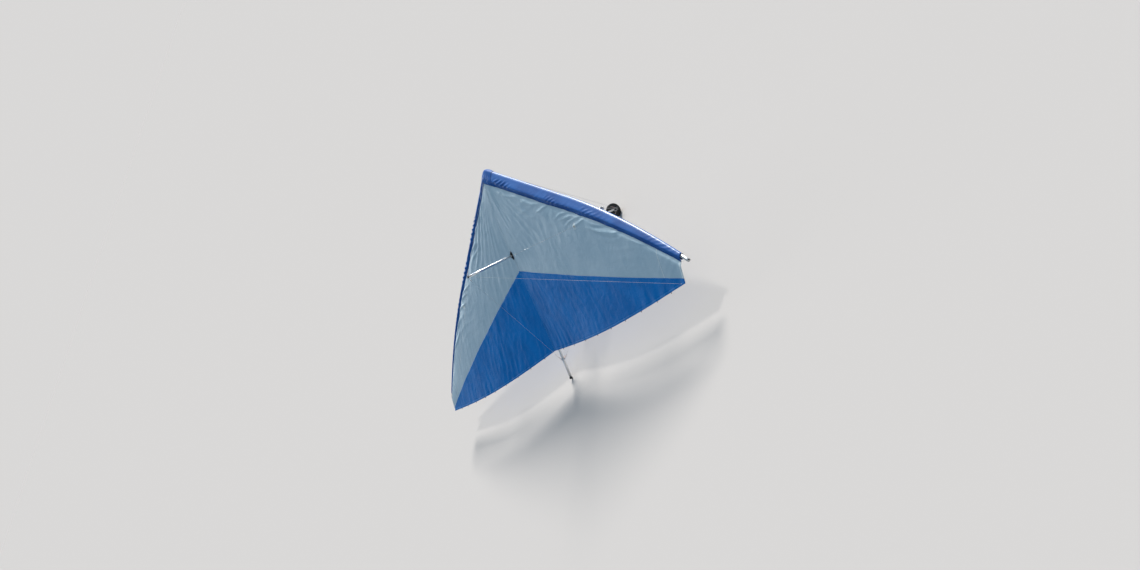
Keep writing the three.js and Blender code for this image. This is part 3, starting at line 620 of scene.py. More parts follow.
def finish_piece(name, mesh, materials, stands_for=None, body="glider", sharp=38):
    mesh.transform(WING)
    data = bpy.data.meshes.new(name)
    mesh.to_mesh(data)
    mesh.free()
    for polygon in data.polygons:
        polygon.use_smooth = True
    data.set_sharp_from_angle(angle=math.radians(sharp))
    made = add_object(name, data)
    for material in materials:
        data.materials.append(material)
    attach(made, body)
    if stands_for:
        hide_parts(stands_for)
    return made


def thicken(piece, thickness, offset=-1):
    wall = piece.modifiers.new("wall", "SOLIDIFY")
    wall.thickness = thickness
    wall.offset = offset
    wall.use_even_offset = False
    return piece


# %% [markdown]
# ## Cloth from a grid
#
# A sheet starts as a flat grid of small squares. A function says where each corner goes, how far along and
# across the cloth it lies, and how far it is from its nearest seam. The first pair becomes a UV map in metres
# that the weave follows, the second one the stitches follow. A wall of 1.2 mm closes the sheet.

# %% Cloth helpers
SAILCLOTH = 0.0012


def map_corners(mesh, label, where):
    """Writes a UV map: where(vert) gives the pair at a corner."""
    layer = mesh.loops.layers.uv.new(label)
    for face in mesh.faces:
        for loop in face.loops:
            loop[layer].uv = where(loop.vert)


def cloth_mesh(columns, rows, place, flip):
    """place(u, v) gives a point, its place on the cloth, and (distance from a seam, distance along it)."""
    made = blank()
    bmesh.ops.create_grid(made, x_segments=columns, y_segments=rows, size=0.5)
    made.verts.index_update()
    cloth, seam = [], []
    for vert in made.verts:
        vert.co, on_cloth, from_seam = place(vert.co.x + 0.5, vert.co.y + 0.5)
        cloth.append(on_cloth)
        seam.append(from_seam)
    map_corners(made, "cloth", lambda vert: cloth[vert.index])
    map_corners(made, "seam", lambda vert: seam[vert.index])
    if flip:
        bmesh.ops.reverse_faces(made, faces=made.faces)
    return made


def sheet_piece(name, mesh, cloth, stands_for, sharp=38):
    """A sheet with its wall, and how much cloth is in it."""
    area = sum(face.calc_area() for face in mesh.faces)
    print(name, "takes", round(area, 3), "square metres")
    return thicken(finish_piece(name, mesh, [cloth], stands_for, sharp=sharp), SAILCLOTH), area


# %% [markdown]
# ## The white main panels
#
# Each wing's white cloth runs from the leading-edge pocket back to the V-shaped seam. At the centre it leaves
# a slot for the kingpost: there the inner edge swings outwards in half an ellipse. The columns of the grid
# crowd a little towards the centre, where the fan of folds is finest.

# %% Main panels
SLOT_Y, SLOT_HALF_LENGTH, SLOT_HALF_WIDTH, SLOT_BLEND = 1.443, 0.070, 0.034, 0.16
LAP, TUCK, CENTRE_GAP = 0.015, 0.004, 0.0006
MAIN_COLUMNS, MAIN_ROWS = 340, 104


def inner_x(y):
    across = (y - SLOT_Y) / SLOT_HALF_LENGTH
    slot = SLOT_HALF_WIDTH * math.sqrt(1 - across * across) if abs(across) < 1 else 0
    return max(CENTRE_GAP, slot)


def panel_place(side, front, rear, lift=0.0):
    """Where a panel between two seams puts the corners of its grid."""

    def place(u, v):
        x = lerp(CENTRE_GAP, SAIL_TIP_X, u**1.12)
        y = lerp(front(x), rear(x), v)
        start = inner_x(y)
        if x < SLOT_BLEND:
            x = start + x * (SLOT_BLEND - start) / SLOT_BLEND
        seams = [(x - start, y), (SAIL_TIP_X - x, y), (y - front(x), x), (rear(x) - y, x)]
        return sail_point(x, y, side, lift), (x, y), min(seams)

    return place


main_panels = {}
for name, side in SIDES.items():
    place = panel_place(side, lambda x: pocket_seam_y(x) - TUCK, lambda x: chevron_y(x) + TUCK)
    main_panels[name] = sheet_piece(
        f"sail_main_cloth_{name}",
        cloth_mesh(MAIN_COLUMNS, MAIN_ROWS, place, side < 0),
        white_cloth, f"sail_main_{name}",
    )

# %% [markdown]
# ## The azure rear panels
#
# Behind the V-shaped seam the cloth is azure. It is the same surface with the same folds, so the same place
# function serves. Its front edge laps over the white cloth by 15 mm and lies one cloth thickness higher.

# %% Rear panels
REAR_COLUMNS, REAR_ROWS, REAR_LIFT = 260, 62, 0.0014

rear_panels = {}
for name, side in SIDES.items():
    place = panel_place(side, lambda x: chevron_y(x) - LAP, trailing_y, REAR_LIFT)
    rear_panels[name] = sheet_piece(
        f"sail_rear_cloth_{name}",
        cloth_mesh(REAR_COLUMNS, REAR_ROWS, place, side < 0),
        azure_cloth, f"sail_rear_{name}",
    )

# %% [markdown]
# ## The leading-edge pockets
#
# A pocket goes from its seam on top of the sail forward, round the tube and back underneath to a free hem.
# Its section is worked out in a plane along the keel: points over the sail with a loose hump, an arc round
# the tube between two tangent lines, and the underside. The line through them is smoothed and divided evenly.
# Between the tube and the seam the cloth is loose and takes short slanting wrinkles, and round the tube it
# is tight. Underneath, some squares are taken out where the crossbar's bracket grips the tube.

# %% Pocket sections
SECTION_POINTS, ARC_STEPS = 36, 16
CROSSBAR_STATION = 3.620
POCKET_TOP = ((1, 0), (0.85, 0.005), (0.7, 0.010), (0.55, 0.007))  # share of the chord, loose hump
OPENING_HALF_LENGTH, OPENING_START = 0.078, 0.243  # start is counted round the section from its seam edge
POCKET_SKIN = 0.0026
WRINKLE_SEED = {1: 5.7, -1: 61.9}


def even_line(points, count):
    """The same line with its points evenly spaced."""
    gaps = [(b - a).length for a, b in zip(points, points[1:])]
    total = sum(gaps)
    spaced, index, passed = [], 0, 0.0
    for k in range(count + 1):
        wanted = total * k / count
        while index < len(gaps) - 1 and passed + gaps[index] < wanted:
            passed += gaps[index]
            index += 1
        share = min(1, (wanted - passed) / gaps[index])
        spaced.append(points[index].lerp(points[index + 1], share))
    return spaced


def soften(points, passes):
    for _ in range(passes):
        inner = [(a + b * 2 + c) / 4 for a, b, c in zip(points, points[1:], points[2:])]
        points = [points[0], *inner, points[-1]]
    return points


def tangent_turn(centre, radius, stretch, point, way):
    ahead, over = -(point.x - centre.x) / stretch, point.y - centre.y
    angle = math.atan2(way * over, ahead) % (2 * math.pi)
    return way * (angle - math.acos(min(1, radius / math.hypot(ahead, over))))


def section_line(tops, centre, radius, stretch, underneath):
    """Points (y, z): along the sail, round the leading edge, then along the underside."""
    first = tangent_turn(centre, radius, stretch, tops[-1], 1)
    last = tangent_turn(centre, radius, stretch, underneath[0], -1)
    arc = []
    for k in range(ARC_STEPS + 1):
        angle = lerp(first, last, k / ARC_STEPS)
        y = centre.x - radius * stretch * math.cos(angle)
        arc.append(Vector((y, centre.y + radius * math.sin(angle))))
    line = even_line([*tops, *arc, *underneath], 3 * SECTION_POINTS)
    return even_line(soften(line, 6), SECTION_POINTS)


def cut_opening(mesh):
    """Takes out the squares under the tube where the crossbar's bracket sits."""
    layer = mesh.loops.layers.uv["cloth"]
    centre = spar_point(CROSSBAR_STATION).x
    inside = []
    for face in mesh.faces:
        x, along = sum((loop[layer].uv for loop in face.loops), Vector((0, 0))) / len(face.loops)
        if abs(x - centre) < OPENING_HALF_LENGTH and along > OPENING_START:
            inside.append(face)
    print(len(inside), "squares taken out for the crossbar")
    bmesh.ops.delete(mesh, geom=inside, context="FACES")


def top_points(x):
    """The pocket's top side, from its lap on the sail towards the tube."""
    spar, seam = spar_at(x), pocket_seam_y(x)
    loose = (seam - spar.y) / POCKET_CHORD * ease(0.1, 0.6, x)
    points = [Vector((seam + LAP, sail_height(x, seam + LAP)))]
    for share, hump in POCKET_TOP:
        y = lerp(spar.y, seam, share)
        points.append(Vector((y, sail_height(x, y) + hump * loose)))
    return points


@lru_cache(maxsize=None)
def pocket_section(x):
    spar, seam, tops = spar_at(x), pocket_seam_y(x), top_points(x)
    stretch = 1 / (spar_at(x + 0.001) - spar).normalized().x
    radius = pocket_radius(x) + CAD_CLOTH
    back = tops[1].y - 2 * CAD_CLOTH - 0.002 - seam_groove(x)
    low = lerp(spar.z - radius, back, 0.45)
    underneath = [Vector((lerp(spar.y, seam, 0.7), low)), Vector((seam - 0.012, back))]
    return section_line(tops, Vector((spar.y, spar.z)), radius, stretch, underneath)


def pocket_wrinkle(x, along, seed):
    """Short folds that slant across the loose cloth between the seam and the tube."""
    loose = ease(0.02, 0.07, along) * (1 - ease(0.115, 0.185, along))
    bundle = ease(-0.30, 0.30, drift(x, along, 2.1, seed))
    warp = 0.7 * drift(x, along * 2, 2.7, seed + 7)
    slanted = pleat((x * 0.8 - along * 1.15) / 0.090 + warp)
    long_wave = 0.35 * drift(x, along, 5.0, seed + 9)
    inboard = lerp(1.0, 0.12, ease(2.2, 3.4, x)) * ease(0.26, 0.45, x)
    return 0.019 * loose * bundle * inboard * (slanted + long_wave)


def pocket_place(section, side, start_x, end_x, wrinkle, skin=POCKET_SKIN):
    """Where the pocket puts its grid: u along the leading edge, v round the section."""

    def place(u, v):
        x = lerp(start_x, end_x, u)
        line = section(x)
        index = min(round(v * SECTION_POINTS), SECTION_POINTS)
        here = line[index]
        slope = line[min(SECTION_POINTS, index + 1)] - line[max(0, index - 1)]
        outward = Vector((-slope.y, slope.x)).normalized() * -1
        step = (line[1] - line[0]).length
        along = index * step
        rise = folds(abs(x), here.x, side) * (1 - ease(0.012, 0.085, along))
        out = skin + wrinkle(x, along, WRINKLE_SEED[side])
        point = Vector((side * x, here.x + outward.x * out, here.y + outward.y * out + rise))
        return point, (x, along), min((along, x), (SECTION_POINTS * step - along, x))

    return place


pockets = {}
NOSE_CONE_X = 0.250
for name, side in SIDES.items():
    place = pocket_place(pocket_section, side, NOSE_CONE_X - 0.02, SAIL_TIP_X, pocket_wrinkle)
    mesh = cloth_mesh(MAIN_COLUMNS, SECTION_POINTS, place, side > 0)
    cut_opening(mesh)
    pockets[name] = sheet_piece(
        f"leading_edge_cloth_{name}", mesh, blue_cloth, f"leading_edge_pocket_{name}", 75
    )

# %% [markdown]
# ## The nose cone
#
# A small blue cone joins the two pockets over the nose plates, and stays open underneath. It swells out from
# the pockets' line in the middle, and its edges lap over them.

# %% Nose cone
NOSE_SWELL, NOSE_ROUND, CONE_SKIN = 0.016, 0.025, 0.0050
CONE_COLUMNS = 60


@lru_cache(maxsize=None)
def cone_section(x):
    side = abs(x)
    share = min(1, side / NOSE_CONE_X)
    spar = spar_at(side)
    radius = pocket_radius(side) + CAD_CLOTH + NOSE_SWELL * (1 - share**3)
    front = math.hypot(spar.y, NOSE_ROUND * math.sqrt(1 - share * share))
    stretch = lerp(1, 1 / math.sin(NOSE_HALF_ANGLE), share * share)
    hem = [Vector((front, spar.z - 2 * radius))]
    line = section_line(top_points(side), Vector((front, spar.z)), radius, stretch, hem)
    return even_line([p for p in line if p.y > spar.z - 0.86 * radius], SECTION_POINTS)


def cone_wrinkle(x, along, seed):
    loose = ease(0.015, 0.05, along) * (1 - ease(0.12, 0.2, along))
    return 0.003 * loose * math.sin(2 * math.pi * (x * 1.2 + along) / 0.09 + 2 * seed)


def cone_place(u, v):
    x = lerp(-NOSE_CONE_X, NOSE_CONE_X, u)
    side = 1 if x >= 0 else -1
    place = pocket_place(lambda _: cone_section(x), side, abs(x), abs(x), cone_wrinkle, CONE_SKIN)
    point, (_, along), seam = place(0, v)
    return point, (x, along), min(seam, (NOSE_CONE_X - abs(x), along))


mesh = cloth_mesh(CONE_COLUMNS, SECTION_POINTS, cone_place, True)
nose_cloth, cone_area = sheet_piece("nose_cone_cloth", mesh, blue_cloth, "nose_cone", 75)

# %% [markdown]
# ## The keel pocket
#
# Under the rear half of the sail a long white pocket hangs from the centre seam, and the keel slides through
# it. Its section is most of a ring, and two flanks that rise from there to the seam.

# %% Keel pocket
KEEL_RADIUS = 0.021
KEEL_POCKET_Y, KEEL_POCKET_GIRTH = (1.98, 3.06), 0.36
RING_SHARE, RING_TURN = 0.62, 0.8


def keel_pocket_place(u, v):
    y = lerp(*KEEL_POCKET_Y, u)
    radius = KEEL_RADIUS + 0.0035 + 0.0012 * math.sin(y * 31) * math.sin(v * 9)
    around, side = 2 * abs(v - 0.5), 1 if v < 0.5 else -1
    angle = -math.pi / 2 + side * min(1, around / RING_SHARE) * math.pi * RING_TURN
    ring = Vector((radius * math.cos(angle), radius * math.sin(angle)))
    rise = (around - RING_SHARE) / (1 - RING_SHARE) if around > RING_SHARE else 0
    spot = ring.lerp(Vector((side * 0.004, sail_height(0.001, y) - 0.009)), rise)
    along = v * KEEL_POCKET_GIRTH
    return Vector((spot.x, y, spot.y)), (y, along), (min(along, KEEL_POCKET_GIRTH - along), y)


mesh = cloth_mesh(70, 40, keel_pocket_place, False)
keel_cloth, keel_area = sheet_piece(
    "keel_pocket_cloth", mesh, white_cloth, "keel_pocket", 80
)

# %% [markdown]
# ## Metals
#
# Anodised aluminium is satin, with fine lines along the tube from drawing and small duller smudges.
# The grain attribute runs along each tube, so stretched noise on it gives the drawn lines. Fittings of plate
# take the same effect in the object's own coordinates.

# %% Metal materials


@effect("drawn metal", {"Vector": None}, ["Lines", "Smudge"])
def drawn(tree, given):
    inputs = {0: given["Vector"], 1: (420.0, 420.0, 3.0)}
    stretched = add_node(tree, "VectorMath", inputs, operation="MULTIPLY").outputs[0]
    smudge = noise_at(tree, given["Vector"], 9.0, 5.0)
    return [noise_at(tree, stretched, 1.0, 3.0), remap(tree, smudge, 0.4, 0.75)]


def grain_place(tree):
    return add_node(tree, "Attribute", attribute_name=GRAIN).outputs["Vector"]


def metal(name, colour, dull, roughness, place=object_place, smudges=0.2):
    made, tree, shader = new_material(name, Metallic=1.0)
    marks = use(tree, drawn, Vector=place(tree))
    tone = blend_colour(tree, calc(tree, "MULTIPLY", marks["Smudge"], 0.6), colour, dull)
    fine = calc(tree, "MULTIPLY", marks["Lines"], 0.12)
    rough = calc(tree, "ADD", fine, calc(tree, "MULTIPLY", marks["Smudge"], smudges))
    rough = calc(tree, "ADD", rough, roughness)
    lines = bump(tree, marks["Lines"], 0.25, 0.0003)
    feed_all(tree, shader, {"Base Color": tone, "Roughness": rough, "Normal": lines})
    return made


tube_metal = metal("anodised tube", (0.78, 0.79, 0.80), (0.60, 0.60, 0.60), 0.24, grain_place)
plate_metal = metal("stainless plate", (0.62, 0.62, 0.63), (0.45, 0.44, 0.43), 0.26)
bolt_metal = metal("zinc bolt", (0.55, 0.56, 0.58), (0.40, 0.39, 0.36), 0.34)
crimp_metal = metal("copper crimp", (0.72, 0.43, 0.30), (0.42, 0.28, 0.22), 0.36)
print("four metals")

# %% [markdown]
# ## Tubes
#
# A tube is a circle of edges, extruded from one point of its path to the next, with each new circle turned
# into the path's direction there. The open skin then gets its wall with a Solidify modifier, so every open
# end shows the real thickness.

# %% Tube helpers


def path_frames(path):
    """A matrix at each point of the path, with its z along the path, that doesn't twist on the way."""
    last = len(path) - 1
    ways = [(path[min(last, k + 1)] - path[max(0, k - 1)]).normalized() for k in range(last + 1)]
    turned = ways[0].to_track_quat("Z", "Y")
    frames = [Matrix.Translation(path[0]) @ turned.to_matrix().to_4x4()]
    for point, before, after in zip(path[1:], ways, ways[1:]):
        turned = before.rotation_difference(after) @ turned
        frames.append(Matrix.Translation(point) @ turned.to_matrix().to_4x4())
    return frames


def grow(mesh, edges):
    """Extrudes a row of edges, and returns the corners and edges of the new row."""
    grown = bmesh.ops.extrude_edge_only(mesh, edges=edges)["geom"]
    verts = [g for g in grown if isinstance(g, bmesh.types.BMVert)]
    row = set(verts)
    return verts, [g for g in grown if isinstance(g, bmesh.types.BMEdge) and set(g.verts) <= row]


def sweep(path, radius, sides=32, ends=False, flat=1.0):
    """A skin round a path."""
    made = blank()
    grain = made.verts.layers.float_vector[GRAIN]
    frames = path_frames(path)
    shape = frames[0] @ Matrix.Diagonal((1, flat, 1, 1))
    bmesh.ops.create_circle(made, cap_ends=False, segments=sides, radius=radius, matrix=shape)
    verts, edges = list(made.verts), list(made.edges)
    passed, first = 0.0, edges
    for index, after in enumerate(frames):
        if index:
            passed += (path[index] - path[index - 1]).length
            verts, edges = grow(made, edges)
            bmesh.ops.transform(made, matrix=after @ frames[index - 1].inverted(), verts=verts)
        back_home = after.inverted()
        for vert in verts:
            spot = back_home @ vert.co
            vert[grain] = (spot.x, spot.y, passed)
    if ends:
        for ring in (first, edges):
            bmesh.ops.edgeloop_fill(made, edges=ring)
    bmesh.ops.recalc_face_normals(made, faces=made.faces)
    return made


def straight(start, end, steps=4):
    return [start.lerp(end, k / steps) for k in range(steps + 1)]


def tube_piece(name, path, radius, wall, stands_for):
    skin = sweep(path, radius, 40)
    return thicken(finish_piece(name, skin, [tube_metal], stands_for), wall)


# %% [markdown]
# ## The frame's tubes
#
# Keel, leading edges, crossbar, kingpost and control frame are all drawn tube. The leading edges follow the
# bow in 60 steps. Right-hand tubes are the same paths mirrored.

# %% Frame tubes
KEEL_LENGTH, KEEL_FRONT, KEEL_WALL = 3.600, -0.005, 0.002
HINGE_Y, HINGE_Z, HINGE_HALF_WIDTH = 1.640, 0.060, 0.054
CROSSBAR_DROP, CROSSBAR_RADIUS = 0.062, 0.027
APEX_SPREAD = 0.040
FRAME_HALF_WIDTH, FRAME_HEIGHT, FRAME_RAKE = 0.740, 1.560, 0.050
UPRIGHT_RADIUS, UPRIGHT_WALL, BASE_BAR_RADIUS = 0.016, 0.002, 0.014
KINGPOST_TOP, KINGPOST_RAKE, KINGPOST_RADIUS = 0.975, 0.100, 0.018
CORNER_BOSS, BAR_BOSS, LUG_REACH = 0.036, 0.030, 0.025

corner = Vector((FRAME_HALF_WIDTH, APEX_Y - FRAME_RAKE, -FRAME_HEIGHT))
apex_top = Vector((APEX_SPREAD, APEX_Y, -APEX_DEPTH))
kingpost_foot = Vector((0, APEX_Y, KEEL_RADIUS + 0.006))
kingpost_head = Vector((0, APEX_Y + KINGPOST_RAKE, KINGPOST_TOP))
post_way = (kingpost_head - kingpost_foot).normalized()
clamp_centre = spar_point(CROSSBAR_STATION)
crossbar_end = clamp_centre + Vector((0.010, 0, -CROSSBAR_DROP))
crossbar_start = Vector((HINGE_HALF_WIDTH + 0.004, HINGE_Y, HINGE_Z))
frame_down = (corner - apex_top).normalized()
upright_top = apex_top + frame_down * 0.012
upright_end = apex_top + frame_down * ((corner - apex_top).length - CORNER_BOSS)


def spar_path(start, end, steps=60):
    return [spar_point(lerp(start, end, k / steps)) for k in range(steps + 1)]


keel_line = straight(Vector((0, KEEL_FRONT, 0)), Vector((0, KEEL_LENGTH, 0)))
tube_piece("keel", keel_line, KEEL_RADIUS, KEEL_WALL, "keel_tube")
tube_piece("kingpost_tube", straight(kingpost_foot, kingpost_head), KINGPOST_RADIUS, TUBE_WALL, "kingpost")
inboard = spar_path(SPAR_START, SPAR_JOIN)
outboard = spar_path(SPAR_JOIN - SPAR_SLEEVE, SPAR_LENGTH)
crossbar = straight(crossbar_start, crossbar_end)
upright = straight(upright_top, upright_end)
for name, side in SIDES.items():
    for label, line, radius, wall, node in (
        ("leading_edge_tube", inboard, SPAR_RADIUS, TUBE_WALL, "leading_edge_inboard"),
        ("leading_edge_tip_tube", outboard, OUTBOARD_RADIUS, TUBE_WALL, "leading_edge_outboard"),
        ("crossbar_tube", crossbar, CROSSBAR_RADIUS, TUBE_WALL, "crossbar"),
        ("upright_tube", upright, UPRIGHT_RADIUS, UPRIGHT_WALL, "upright"),
    ):
        path = [mirrored(point, side) for point in line]
        tube_piece(f"{label}_{name}", path, radius, wall, f"{node}_{name}")
print("ten tubes")

# %% [markdown]
# ## Plastics, rubber, webbing and wire
#
# Moulded plastic has a fine grain and lighter rubbed spots. Rubber has dusty patches.
# Webbing shows its herringbone, and the strands of a wire wind round it: a saw wave of the angle round the
# wire plus the way along it gives them. The hollows of both are darker in colour: painted shade.

# %% Other materials


def moulded(name, colour, worn, roughness, grain_size, grain_depth):
    made, tree, shader = new_material(name)
    here = object_place(tree)
    stained = use(tree, stain, Vector=here, Amount=0.6)[0]
    tone = blend_colour(tree, stained, colour, worn)
    rough = calc(tree, "ADD", calc(tree, "MULTIPLY", stained, 0.25), roughness)
    grain = bump(tree, noise_at(tree, here, grain_size, 3.0), 0.4, grain_depth)
    feed_all(tree, shader, {"Base Color": tone, "Roughness": rough, "Normal": grain})
    return made


black_plastic = moulded("black plastic", (0.018, 0.018, 0.020), (0.06, 0.06, 0.06), 0.42, 900.0, 0.0003)
wheel_plastic = moulded("wheel plastic", (0.030, 0.030, 0.032), (0.11, 0.105, 0.095), 0.38, 500.0, 0.0003)
rubber = moulded("tyre rubber", (0.014, 0.014, 0.014), (0.075, 0.068, 0.058), 0.7, 300.0, 0.0006)
cord_fibre = moulded("cord", (0.55, 0.55, 0.50), (0.36, 0.35, 0.30), 0.75, 1500.0, 0.0004)


@effect("strands", {"Grain": None, "Count": 6.0, "Twist": 1400.0}, ["Height"])
def strands(tree, given):
    x, y, along = split(tree, given["Grain"])
    turned = calc(tree, "MULTIPLY", calc(tree, "ARCTAN2", y, x), given["Count"])
    return [calc(tree, "SINE", calc(tree, "ADD", turned, calc(tree, "MULTIPLY", along, given["Twist"])))]


@effect("herringbone", {"Vector": None, "Rib": 0.004}, ["Height"])
def herringbone(tree, given):
    across, along = split(tree, given["Vector"])[:2]
    slant = calc(tree, "ADD", along, calc(tree, "PINGPONG", across, given["Rib"]))
    return [calc(tree, "SINE", calc(tree, "MULTIPLY", slant, 3800.0))]


def strand_height(tree):
    return use(tree, strands, Grain=grain_place(tree))[0]


def herringbone_height(tree):
    return use(tree, herringbone, Vector=add_node(tree, "UVMap", uv_map="cloth").outputs[0])[0]


def finished_by(name, height, raised, hollow_shade, metallic, roughness, depth):
    """A material whose colour and bump both follow one height; its colour darkens into the hollows as painted
    shade.
    """
    made, tree, shader = new_material(name, Metallic=metallic, Roughness=roughness)
    level = height(tree)
    tone = blend_colour(tree, remap(tree, level, -0.2, 1.0, 1.0, 0.0), raised, hollow_shade)
    feed_all(tree, shader, {"Base Color": tone, "Normal": bump(tree, level, 0.6, depth)})
    return made


wire_metal = finished_by(
    "stranded wire", strand_height, (0.66, 0.67, 0.69), (0.25, 0.25, 0.26), 1.0, 0.32, 0.0006
)
webbing = finished_by(
    "webbing", herringbone_height, (0.035, 0.037, 0.042), (0.012, 0.012, 0.014), 0.0, 0.75, 0.0005
)
pale_webbing = finished_by(
    "pale webbing", herringbone_height, (0.72, 0.73, 0.71), (0.46, 0.47, 0.46), 0.0, 0.75, 0.0005
)
print("four moulded finishes, a wire and two webbings")

# %% [markdown]
# ## Small hardware
#
# Bolts, tangs and wire ends return all over the glider, so each is a function that adds one to a piece.
# A lathe profile is a list of (radius, height) points, spun about z. A slab is an outline with a thickness
# and softly bevelled edges. "standing" and "upright_on" give the matrix that puts a part where it belongs,
# and "turned" puts a lathe part there at once.

# %% Hardware helpers
STEEL, BOLTS, COPPER, WIRE, BLACK = range(5)
FITTING = [plate_metal, bolt_metal, crimp_metal, wire_metal, black_plastic]


def standing(place, along, facing):
    """x runs along, and z faces as near as it can to facing."""
    x = along.normalized()
    y = facing.cross(x).normalized()
    return Matrix.Translation(place) @ Matrix((x, y, x.cross(y))).transposed().to_4x4()


def upright_on(place, way):
    """z runs the given way."""
    return Matrix.Translation(place) @ way.to_track_quat("Z", "Y").to_matrix().to_4x4()


def lathe(profile, sides=32, sweep_angle=math.tau):
    made = blank()
    grain = made.verts.layers.float_vector[GRAIN]
    verts = [made.verts.new((radius, 0, height)) for radius, height in profile]
    edges = [made.edges.new(pair) for pair in zip(verts, verts[1:])]
    whole = sweep_angle == math.tau
    bmesh.ops.spin(
        made, geom=verts + edges, axis=Z, cent=(0, 0, 0), steps=sides, angle=sweep_angle, use_merge=whole
    )
    bmesh.ops.remove_doubles(made, verts=made.verts, dist=1e-6)
    if not whole:
        bmesh.ops.holes_fill(made, edges=[e for e in made.edges if e.is_boundary])
    bmesh.ops.recalc_face_normals(made, faces=made.faces)
    for vert in made.verts:
        vert[grain] = vert.co
    return made


def turned(target, profile, place, way, material=0, sides=40):
    put(target, lathe(profile, sides), upright_on(place, way), material)


def tube_profile(inner, outer, low, high):
    return [(inner, low), (outer, low), (outer, high), (inner, high), (inner, low)]


def soften_edges(made, width, segments=2, least_angle=0.5):
    chosen = [e for e in made.edges if e.is_manifold and e.calc_face_angle() > least_angle]
    bmesh.ops.bevel(
        made, geom=chosen, offset=width, segments=segments, profile=0.5, affect="EDGES",
        material=-1, clamp_overlap=True,
    )


def slab(outline, depth, bevel=0.0006):
    made = blank()
    face = made.faces.new([made.verts.new((x, y, 0)) for x, y in outline])
    grown = bmesh.ops.extrude_face_region(made, geom=[face])["geom"]
    tops = [g for g in grown if isinstance(g, bmesh.types.BMVert)]
    bmesh.ops.translate(made, vec=(0, 0, depth), verts=tops)
    bmesh.ops.recalc_face_normals(made, faces=made.faces)
    soften_edges(made, bevel)
    return made


def block(low, high, bevel=0.002, segments=3):
    made = blank()
    low, high = Vector(low), Vector(high)
    shape = Matrix.Translation((low + high) / 2) @ Matrix.Diagonal((*(high - low), 1))
    bmesh.ops.create_cube(made, size=1, matrix=shape)
    soften_edges(made, bevel, segments)
    return made


def rounded_end(length, width, steps=10):
    """The outline of a strap that starts square at 0 and ends in half a circle at length."""
    arc = [math.pi * (k / steps - 0.5) for k in range(steps + 1)]
    tip = [(length + width * math.cos(a), width * math.sin(a)) for a in arc]
    return [(0, -width), *tip, (0, width)]


def hexagon(radius, height):
    corners = [math.tau * k / 6 for k in range(6)]
    return slab([(radius * math.cos(a), radius * math.sin(a)) for a in corners], height, radius * 0.1)


def bolted(target, start, end, radius, material=BOLTS):
    """A bolt with its head beyond start, its lock nut beyond end, and a washer under each."""
    way = end - start
    length, thick = way.length, 0.25 * radius
    shank = [(radius, -radius), (radius, length + 2.1 * radius), (0, length + 2.3 * radius)]
    washer = [(radius, 0), (2.1 * radius, 0), (2.1 * radius, thick), (radius, thick)]
    for part, height in (
        (lathe(shank, 14), 0),
        (lathe(washer, 20), -thick),
        (lathe(washer, 20), length),
        (hexagon(1.75 * radius, 1.1 * radius), -1.35 * radius),
        (hexagon(1.75 * radius, 1.4 * radius), length + thick),
    ):
        put(target, part, upright_on(start, way) @ Matrix.Translation((0, 0, height)), material)


TANG_WIDTH, TANG_GAP, TANG_THICKNESS = 0.0062, 0.0032, 0.0016


def tang(target, root, at, across):
    """Two small plates from a fitting out to a wire's eye, with the pin that holds its thimble."""
    way = at - root
    for offset in (-TANG_GAP - TANG_THICKNESS, TANG_GAP):
        plate = slab(rounded_end(way.length, TANG_WIDTH), TANG_THICKNESS, 0.0004)
        put(target, plate, standing(root + across * offset, way, across), STEEL)
    reach = across * (TANG_GAP + TANG_THICKNESS)
    bolted(target, at - reach, at + reach, 0.0024)


def mirror_mesh(mesh):
    """The right-hand piece from the left-hand one."""
    bmesh.ops.scale(mesh, vec=(-1, 1, 1), verts=mesh.verts)
    bmesh.ops.reverse_faces(mesh, faces=mesh.faces)


def fitting(name, build, stands_for, materials=FITTING):
    """A piece from a function that adds its parts to an empty mesh."""
    mesh = blank()
    build(mesh)
    return finish_piece(name, mesh, materials, stands_for)


def fitting_pair(name, build, stands_for):
    """The same on both sides: the right-hand one is mirrored."""
    for label, side in SIDES.items():
        mesh = blank()
        build(mesh)
        if side < 0:
            mirror_mesh(mesh)
        finish_piece(f"{name}_{label}", mesh, FITTING, f"{stands_for}_{label}")


print("hardware ready")

# %% [markdown]
# ## Where the wires end
#
# Ten stays brace the glider. Each ends at an eye on a fitting. A corner of the control frame has three lugs,
# each a little way out towards the eye at the other end of its wire.

# %% Eyes of the stays
EYE_REACH, SIDE_PIN_X, PLATE = 0.009, 0.040, 0.004
REAR_TANG_Y = 3.290
HEAD_RING, HEAD_RISE = 0.024, 0.010
cross = crossbar_end - Vector((SIDE_PIN_X, 0, 0))
top_of_bar = cross.z + CROSSBAR_RADIUS + 0.002
under_bar = cross.z - CROSSBAR_RADIUS - 0.0015
nose_top = Vector((0, 0.048, 0.042))
nose_bottom = Vector((0.022, 0.030, -0.038))
tail_top = Vector((0, REAR_TANG_Y, KEEL_RADIUS + 0.011))
tail_bottom = Vector((0.016, REAR_TANG_Y, -KEEL_RADIUS - 0.006))
junction = Vector((cross.x - 0.020, crossbar_end.y + 0.062, top_of_bar + PLATE / 2))
junction_low = Vector((cross.x + 0.005, cross.y, under_bar - PLATE - EYE_REACH))
head = kingpost_head + Vector((0, 0, HEAD_RISE))
head_front, head_rear = head - Vector((0, HEAD_RING, 0)), head + Vector((0, HEAD_RING, 0))
head_side = head + Vector((HEAD_RING, 0, 0))
LOWER_EYES = (
    ("lower_front", nose_bottom, X), ("lower_rear", tail_bottom, X), ("lower_side", junction_low, Y),
)


def lug_toward(target):
    return corner + (target - corner).normalized() * LUG_REACH


print("lugs", [[round(n, 3) for n in lug_toward(eye)] for _, eye, _ in LOWER_EYES])

